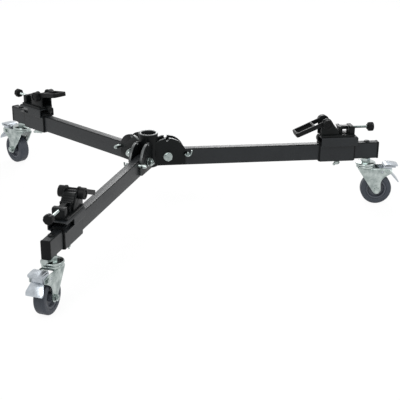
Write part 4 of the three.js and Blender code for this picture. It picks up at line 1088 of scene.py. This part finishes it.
presser_line = [(47, JAW_BASE), (51.5, JAW_BASE), (49, 35.1), (49, 43.6), (41, 43.6), (44.5, 35.1)]
web_line = [(49.25, JAW_BASE), (OUTER_END, JAW_BASE), (OUTER_END, 36.3), (46.75, 36.3)]
window = box_shape(54.7, 66.2, -8, 8, 25.9, WINDOW_TOP)
outer_jaw = welded(
    side_sheet(presser_line, -12, 12),
    cut(side_sheet(web_line, -4, 4), window),
    box_shape(46.75, OUTER_END, -5.5, 5.5, WINDOW_TOP, 42.7),
)
screw_hole = rod(SCREW_RADIUS + RUN, OUTER_END - 7, OUTER_END + OVERRUN, "x", screw_at)
outer_jaw = softened(tidy_shell(cut(outer_jaw, screw_hole)), 0.6, 2)
on_each_arm(outer_jaw, "outer_jaw", "slider", "outer_jaw_body", "black_paint", black)

# %% [markdown]
# ## Jaw screws
# A threaded rod with a fluted black knob pushes the outer jaw. Flutes cut out of a disc would leave
# sharp ridges, so the knob's outline is one wave, kept only inside a domed shape. Rod and knob
# differ in finish, so two objects stand for one CAD node.

# %% Jaw screw and knob
KNOB_START = 119
KNOB_END = 132.5
KNOB_RADIUS = 11
KNOB_LOBES = 7
KNOB_STEPS = 84
FLUTE = 0.75

knob_line = []
for i in range(KNOB_STEPS):
    angle = 2 * pi * i / KNOB_STEPS
    radius = KNOB_RADIUS - FLUTE * (1 - cos(KNOB_LOBES * angle))
    knob_line.append((radius * sin(angle), radius * cos(angle)))
dome = [(0, KNOB_START), (8.6, KNOB_START), (10.4, KNOB_START + 0.9), (11.05, KNOB_START + 2.4)]
dome += [(11.05, KNOB_END - 3), (10.4, KNOB_END - 1.2), (8.8, KNOB_END - 0.2), (6, KNOB_END)]
lobed = kept_inside(long_bar(knob_line, KNOB_START, KNOB_END), spun(dome + [(0, KNOB_END)], "x"))
neck = rounded_rod(6, KNOB_START - 3, KNOB_START + 2, "x")
knob = together(softened(tidy_shell(lobed), 0.3, 2, 40, 34), neck)
jaw_rod = threaded(SCREW_RADIUS, 61.4, KNOB_START + 2, 1, "x")
on_each_arm(jaw_rod, "jaw_rod", "screw", "screw", "zinc", zinc, node="jaw_screw")
on_each_arm(knob, "jaw_knob", "screw", "screw", "black_plastic", moulded, node="jaw_screw")

# %% [markdown]
# ## Caster stems
# Each caster hangs on a stem through the tube's end, with a black head on top and a large nut and a
# raceway below. One stepped profile can't hold a hexagon, so the shells are made apart and joined.

# %% Stem
NUT_TOP = -0.504
NUT_BASE = -11.504
RACE_BASE = -18.004

race_line = [(0, RACE_BASE), (22, RACE_BASE), (23.6, RACE_BASE + 0.6), (24.3, RACE_BASE + 2.2)]
race_line += [(24.3, NUT_BASE - 2), (23.7, NUT_BASE - 0.6), (22.3, NUT_BASE), (0, NUT_BASE)]
caster_stem = together(
    rod(STEM_RADIUS, NUT_BASE, 40.4),
    hexagon(19, NUT_BASE - 2 * LAP, NUT_TOP),
    shaded(spun(race_line, sides=72), 50),
    rod(STEM_RADIUS + LAP, -26, RACE_BASE + 2 * LAP),
    rounded_rod(10, -27.704, -24.704, edge=0.8),
)
on_each_arm(caster_stem, "caster_stem", "caster", "arm", "zinc", zinc)
top_head = rounded_rod(7, 40.504, 42.704, edge=0.8)
on_each_arm(top_head, "top_head", "caster", "arm", "black_plastic", black, node="caster_stem")

# %% [markdown]
# ## Caster forks
# The fork is pressed from one sheet: a crown, two legs that trail behind the stem, and a tail for
# the pedal. Folding a sheet in code is hard to keep closed. So a bent section is drawn out and kept
# only inside the fork's side view, which gives the bend and the slanted legs at once.

# %% Fork
CROWN = -18.304
PLATE_TOP = -21.804
AXLE_Z = -78.5
TRAIL = 27
FORK_OUTER = 18.1
FORK_INNER = 15.6
FORK_BEND = 7
FORK_FRONT = -20
TAIL_END = 63
AXLE_RADIUS = 4
PEDAL_PIN = 2.5
RACE_BORE = 6.8
RACE_RADIUS = 22.6


def fork_section():
    """The bent sheet seen from the front."""
    bend_z = PLATE_TOP - FORK_BEND
    outer = [(FORK_OUTER, AXLE_Z - 20)]
    outer += arc((FORK_OUTER - FORK_BEND, bend_z), FORK_BEND, 0, 90, 12)
    inner = [(FORK_INNER, AXLE_Z - 20)] + arc((FORK_INNER - 4.5, bend_z), 4.5, 0, 90, 10)
    return both_sides(outer) + list(reversed(both_sides(inner)))


def fork_side():
    """The slanted leg, the boss round the axle and the curve up to the tail."""
    lead = degrees(atan2(AXLE_Z - PLATE_TOP, TRAIL - FORK_FRONT))
    line = [(FORK_FRONT, PLATE_TOP), (FORK_FRONT, PLATE_TOP - 2.5)]
    line += arc((TRAIL, AXLE_Z), 10, lead - 90, 0, 24)
    line += bend((36.5, AXLE_Z + 15.5), (36.5, AXLE_Z + 31), (TAIL_END, PLATE_TOP - 15), 18)
    return line + [(TAIL_END, PLATE_TOP - 5), (36.5, PLATE_TOP)]


fork = kept_inside(long_bar(fork_section(), FORK_FRONT, TAIL_END), side_sheet(fork_side(), -25, 25))
tail_gap = (-FORK_INNER, FORK_INNER, PLATE_TOP - FORK_BEND, PLATE_TOP + OVERRUN)
fork = cut(
    fork,
    box_shape(RACE_RADIUS, TAIL_END + OVERRUN, *tail_gap),
    rod(RACE_BORE, PLATE_TOP - 5, PLATE_TOP + OVERRUN),
    rod(AXLE_RADIUS + SEAT, -25, 25, "y", (TRAIL, 0, AXLE_Z)),
    rod(PEDAL_PIN + RUN, -25, 25, "y", (TRAIL + 12, 0, AXLE_Z + 45.5)),
)
race_line = [(RACE_BORE, PLATE_TOP - 2.5), (20.6, PLATE_TOP - 2.5), (RACE_RADIUS, PLATE_TOP - 1.25)]
race_line += [(RACE_RADIUS, CROWN - 1.2), (22.1, CROWN - 0.4), (21, CROWN), (RACE_BORE, CROWN)]
lower_race = shaded(spun(race_line + race_line[:1], sides=72), 50)
tail_bolts = [
    hexagon(9, start, end, "y", (TRAIL + 26, 0, PLATE_TOP - 10), 0.4, 0.4)
    for start, end in ((FORK_OUTER - SEAT, FORK_OUTER + 3), (-FORK_OUTER - 3, SEAT - FORK_OUTER))
]
caster_fork = together(softened(tidy_shell(fork), 0.4, 2, 34, 30), lower_race, *tail_bolts)
on_each_arm(caster_fork, "caster_fork", "swivel", "swivel", "zinc", zinc)

# %% [markdown]
# ## Wheels
# A grey tread is moulded round a paler core with a deep dish on both sides, and turns on a bolt.
# Stacked cylinders would show hard steps. So half of each profile is drawn, mirrored, closed and
# spun.


# %% Tyre and core
def ring_line(right_side):
    """A profile mirrored to the other side and closed."""
    line = right_side + [(radius, -place) for radius, place in reversed(right_side)]
    return line + [line[0]]


tyre_side = [(25, 11.6), (25.6, 12.2), (27, 12.5), (32.5, 12.5)]
tyre_side += arc((32.5, 7.5), 5, 90, 0, 10)[1:]
tyre = shaded(spun(ring_line(tyre_side), "y", sides=120))
on_each_arm(tyre, "tyre", "wheel", "wheel", "wheel_tread", tread)
core_side = [(4.4, 14.6), (4.8, 15), (8.4, 15), (9, 14.4), (10.5, 4.5), (19.2, 4.5), (20.7, 10.6)]
core_side += [(21.1, 11), (24.3, 11), (24.7, 10.6)]
wheel_core = shaded(spun(ring_line(core_side), "y", sides=96))
on_each_arm(wheel_core, "wheel_core", "wheel", "wheel", "wheel_core", core)

# %% Axle bolt
axle_bolt = together(
    rod(AXLE_RADIUS, -19, 25, "y"),
    hexagon(11, -21.4, -18.4, "y", end_edge=LAP, start_edge=0.5),
    hexagon(13, 18.4, 24.4, "y", start_edge=LAP, end_edge=0.6),
    threaded(AXLE_RADIUS, 24.5, 26.4, 1, "y"),
)
on_each_arm(axle_bolt, "axle_bolt", "wheel", "swivel", "zinc", zinc)

# %% [markdown]
# ## Brake pedals
# The pedal is pressed steel: a rolled pad above, a slanted foot pad below, and two arms on a pin. A
# subdivided cage could give the soft shape, but its size is hard to hold. So each pad is the overlap
# of two outlines, one seen from the side and one from above.

# %% Brake pedal
PAD_FRONT = 3
PAD_END = 39
PAD_HEIGHT = 15.5
PAD_CREST = 18.9
PAD_HALF = 15.3
ARM_RADIUS = 5.5
ARM_TOP = 14.2
FOOT_X = 22
FOOT_END = 42
FOOT_HALF = 19.5


def pedal_pad():
    """The upper pad: a rolled sheet with round corners in plan."""
    over = bend((PAD_FRONT, 9.9), (PAD_FRONT, PAD_CREST), (12, PAD_CREST), 14)
    over += bend((12, PAD_CREST), (25.5, PAD_CREST), (PAD_END, PAD_HEIGHT), 12)[1:]
    under = bend((PAD_END, 12.9), (25.5, 16.3), (12, 16.3), 12)
    under += bend((12, 16.3), (5.6, 16.3), (5.6, 9.9), 12)[1:]
    rolled = side_sheet(over + under, -PAD_HALF, PAD_HALF)
    plan = flat_sheet(round_box(PAD_FRONT - 6, PAD_END, -PAD_HALF, PAD_HALF, 6), 0, 22)
    return softened(tidy_shell(kept_inside(rolled, plan)), 0.6, 2, 34, 34)


def pedal_arm(y0, y1):
    line = arc((0, 0), ARM_RADIUS, 90, 270, 16) + [(FOOT_X, -ARM_RADIUS), (FOOT_X + 2.6, ARM_TOP)]
    line += [(PAD_FRONT + ARM_RADIUS, ARM_TOP)]
    return softened(side_sheet(line, y0, y1), 0.4, 2)


def foot_pad():
    """The foot pad: a slanted sheet that flares out and ends in a soft curve."""
    slant_line = [(20.9, -3.3), (20.9, -5.5), (39.8, -26), (FOOT_END, -24.9), (24.2, -3.3)]
    side = [(FOOT_X - 2.2, 12), (FOOT_END - 6, FOOT_HALF)]
    side += bend(side[1], (FOOT_END + 3, FOOT_HALF), (FOOT_END + 3, 0), 12)[1:]
    plan = flat_sheet(side + [(x, -y) for x, y in reversed(side[:-1])], -41, 11)
    flared = kept_inside(side_sheet(slant_line, -22, 22), plan)
    return softened(tidy_shell(flared), 0.5, 2, 34, 34)


lip_hollow = box_shape(PAD_FRONT, PAD_END, -14, 14, 7.7, 12.9)
pad_lip = cut(box_shape(9, 33, -PAD_HALF, PAD_HALF, 10.3, ARM_TOP), lip_hollow)
brake_pedal = together(
    pedal_pad(),
    pedal_arm(12.9, 15.4),
    pedal_arm(-15.4, -12.9),
    rounded_rod(PEDAL_PIN, -FORK_OUTER, FORK_OUTER, "y", edge=0.4),
    softened(tidy_shell(pad_lip), 0.3, 2),
    softened(box_shape(20.9, 23.1, -12, 12, -ARM_RADIUS, ARM_TOP), 0.3, 2),
    foot_pad(),
)
on_each_arm(brake_pedal, "brake_pedal", "pedal", "pedal", "zinc", pedal_zinc)

# %% [markdown]
# ## The studio
# The photograph is a cut-out on white. A pale floor under large soft lamps gives the same look and
# keeps a faint shadow. More light would turn the floor white too, but it would wash out the black
# frame, so the white is mixed in for the camera only.

# %% Floor and world
WHITE = (1, 1, 1, 1)
FLOOR_SIZE = 30
FLOOR_GLOW = (0.88, 1.045)
ROOM_LIGHT = 0.42


def white_to_the_eye(tree, shader_socket, out_socket, share, glow_kind, strength=1.0):
    """Mixes a white glow into a shader, seen only by camera, glossy and transmission rays."""
    link = tree.links.new
    path = tree.nodes.new("ShaderNodeLightPath")
    seen = path.outputs["Is Camera Ray"]
    for ray in ("Is Glossy Ray", "Is Transmission Ray"):
        either = tree.nodes.new("ShaderNodeMath")
        either.operation = "MAXIMUM"
        link(seen, either.inputs[0])
        link(path.outputs[ray], either.inputs[1])
        seen = either.outputs[0]
    scaled = tree.nodes.new("ShaderNodeMath")
    scaled.operation = "MULTIPLY"
    scaled.inputs[1].default_value = share
    glow = tree.nodes.new(glow_kind)
    glow.inputs["Color"].default_value = WHITE
    glow.inputs["Strength"].default_value = strength
    mix = tree.nodes.new("ShaderNodeMixShader")
    link(seen, scaled.inputs[0])
    link(scaled.outputs[0], mix.inputs[0])
    link(shader_socket, mix.inputs[1])
    link(glow.outputs[0], mix.inputs[2])
    link(mix.outputs[0], out_socket)


def add_floor():
    bpy.ops.object.select_all(action="DESELECT")
    bpy.ops.mesh.primitive_plane_add(size=FLOOR_SIZE, location=(0, 0, 0))
    floor = bpy.context.active_object
    floor.name = "studio_floor"
    material = bpy.data.materials.new("studio_paper")
    material.use_nodes = True
    tree = material.node_tree
    shader = tree.nodes["Principled BSDF"]
    shader.inputs["Base Color"].default_value = (0.92, 0.92, 0.92, 1)
    shader.inputs["Roughness"].default_value = 0.9
    shader.inputs["Specular IOR Level"].default_value = 0.0
    paper = shader.outputs["BSDF"]
    out = tree.nodes["Material Output"].inputs["Surface"]
    share, strength = FLOOR_GLOW
    white_to_the_eye(tree, paper, out, share, "ShaderNodeEmission", strength)
    floor.data.materials.append(material)


def add_world():
    world = bpy.data.worlds.new("studio_world")
    bpy.context.scene.world = world
    world.use_nodes = True
    tree = world.node_tree
    room = tree.nodes["Background"]
    room.inputs["Color"].default_value = WHITE
    room.inputs["Strength"].default_value = ROOM_LIGHT
    out = tree.nodes["World Output"].inputs["Surface"]
    white_to_the_eye(tree, room.outputs[0], out, 1.0, "ShaderNodeBackground")


add_floor()
add_world()
print("the floor is", FLOOR_SIZE, "m wide")


# %% Lamps
def add_lamp(name, place, size, watts):
    """A round lamp that faces the middle of the floor."""
    lamp = bpy.data.lights.new(name, "AREA")
    lamp.shape = "DISK"
    lamp.size = size
    lamp.energy = watts
    holder = bpy.data.objects.new(name, lamp)
    bpy.context.scene.collection.objects.link(holder)
    holder.location = place
    holder.rotation_mode = "QUATERNION"
    holder.rotation_quaternion = (-Vector(place)).to_track_quat("-Z", "Y")


add_lamp("key_lamp", (-1.4, -2.0, 2.6), 1.8, 42)
add_lamp("fill_lamp", (2.4, -1.2, 1.6), 1.6, 16)
add_lamp("back_lamp", (0.6, 2.4, 2.4), 1.8, 22)
add_lamp("rim_lamp", (0.56, 2.0, 0.9), 0.9, 12)
bpy.context.scene.view_settings.view_transform = "Standard"
print("the studio has", len(bpy.data.lights), "lamps")
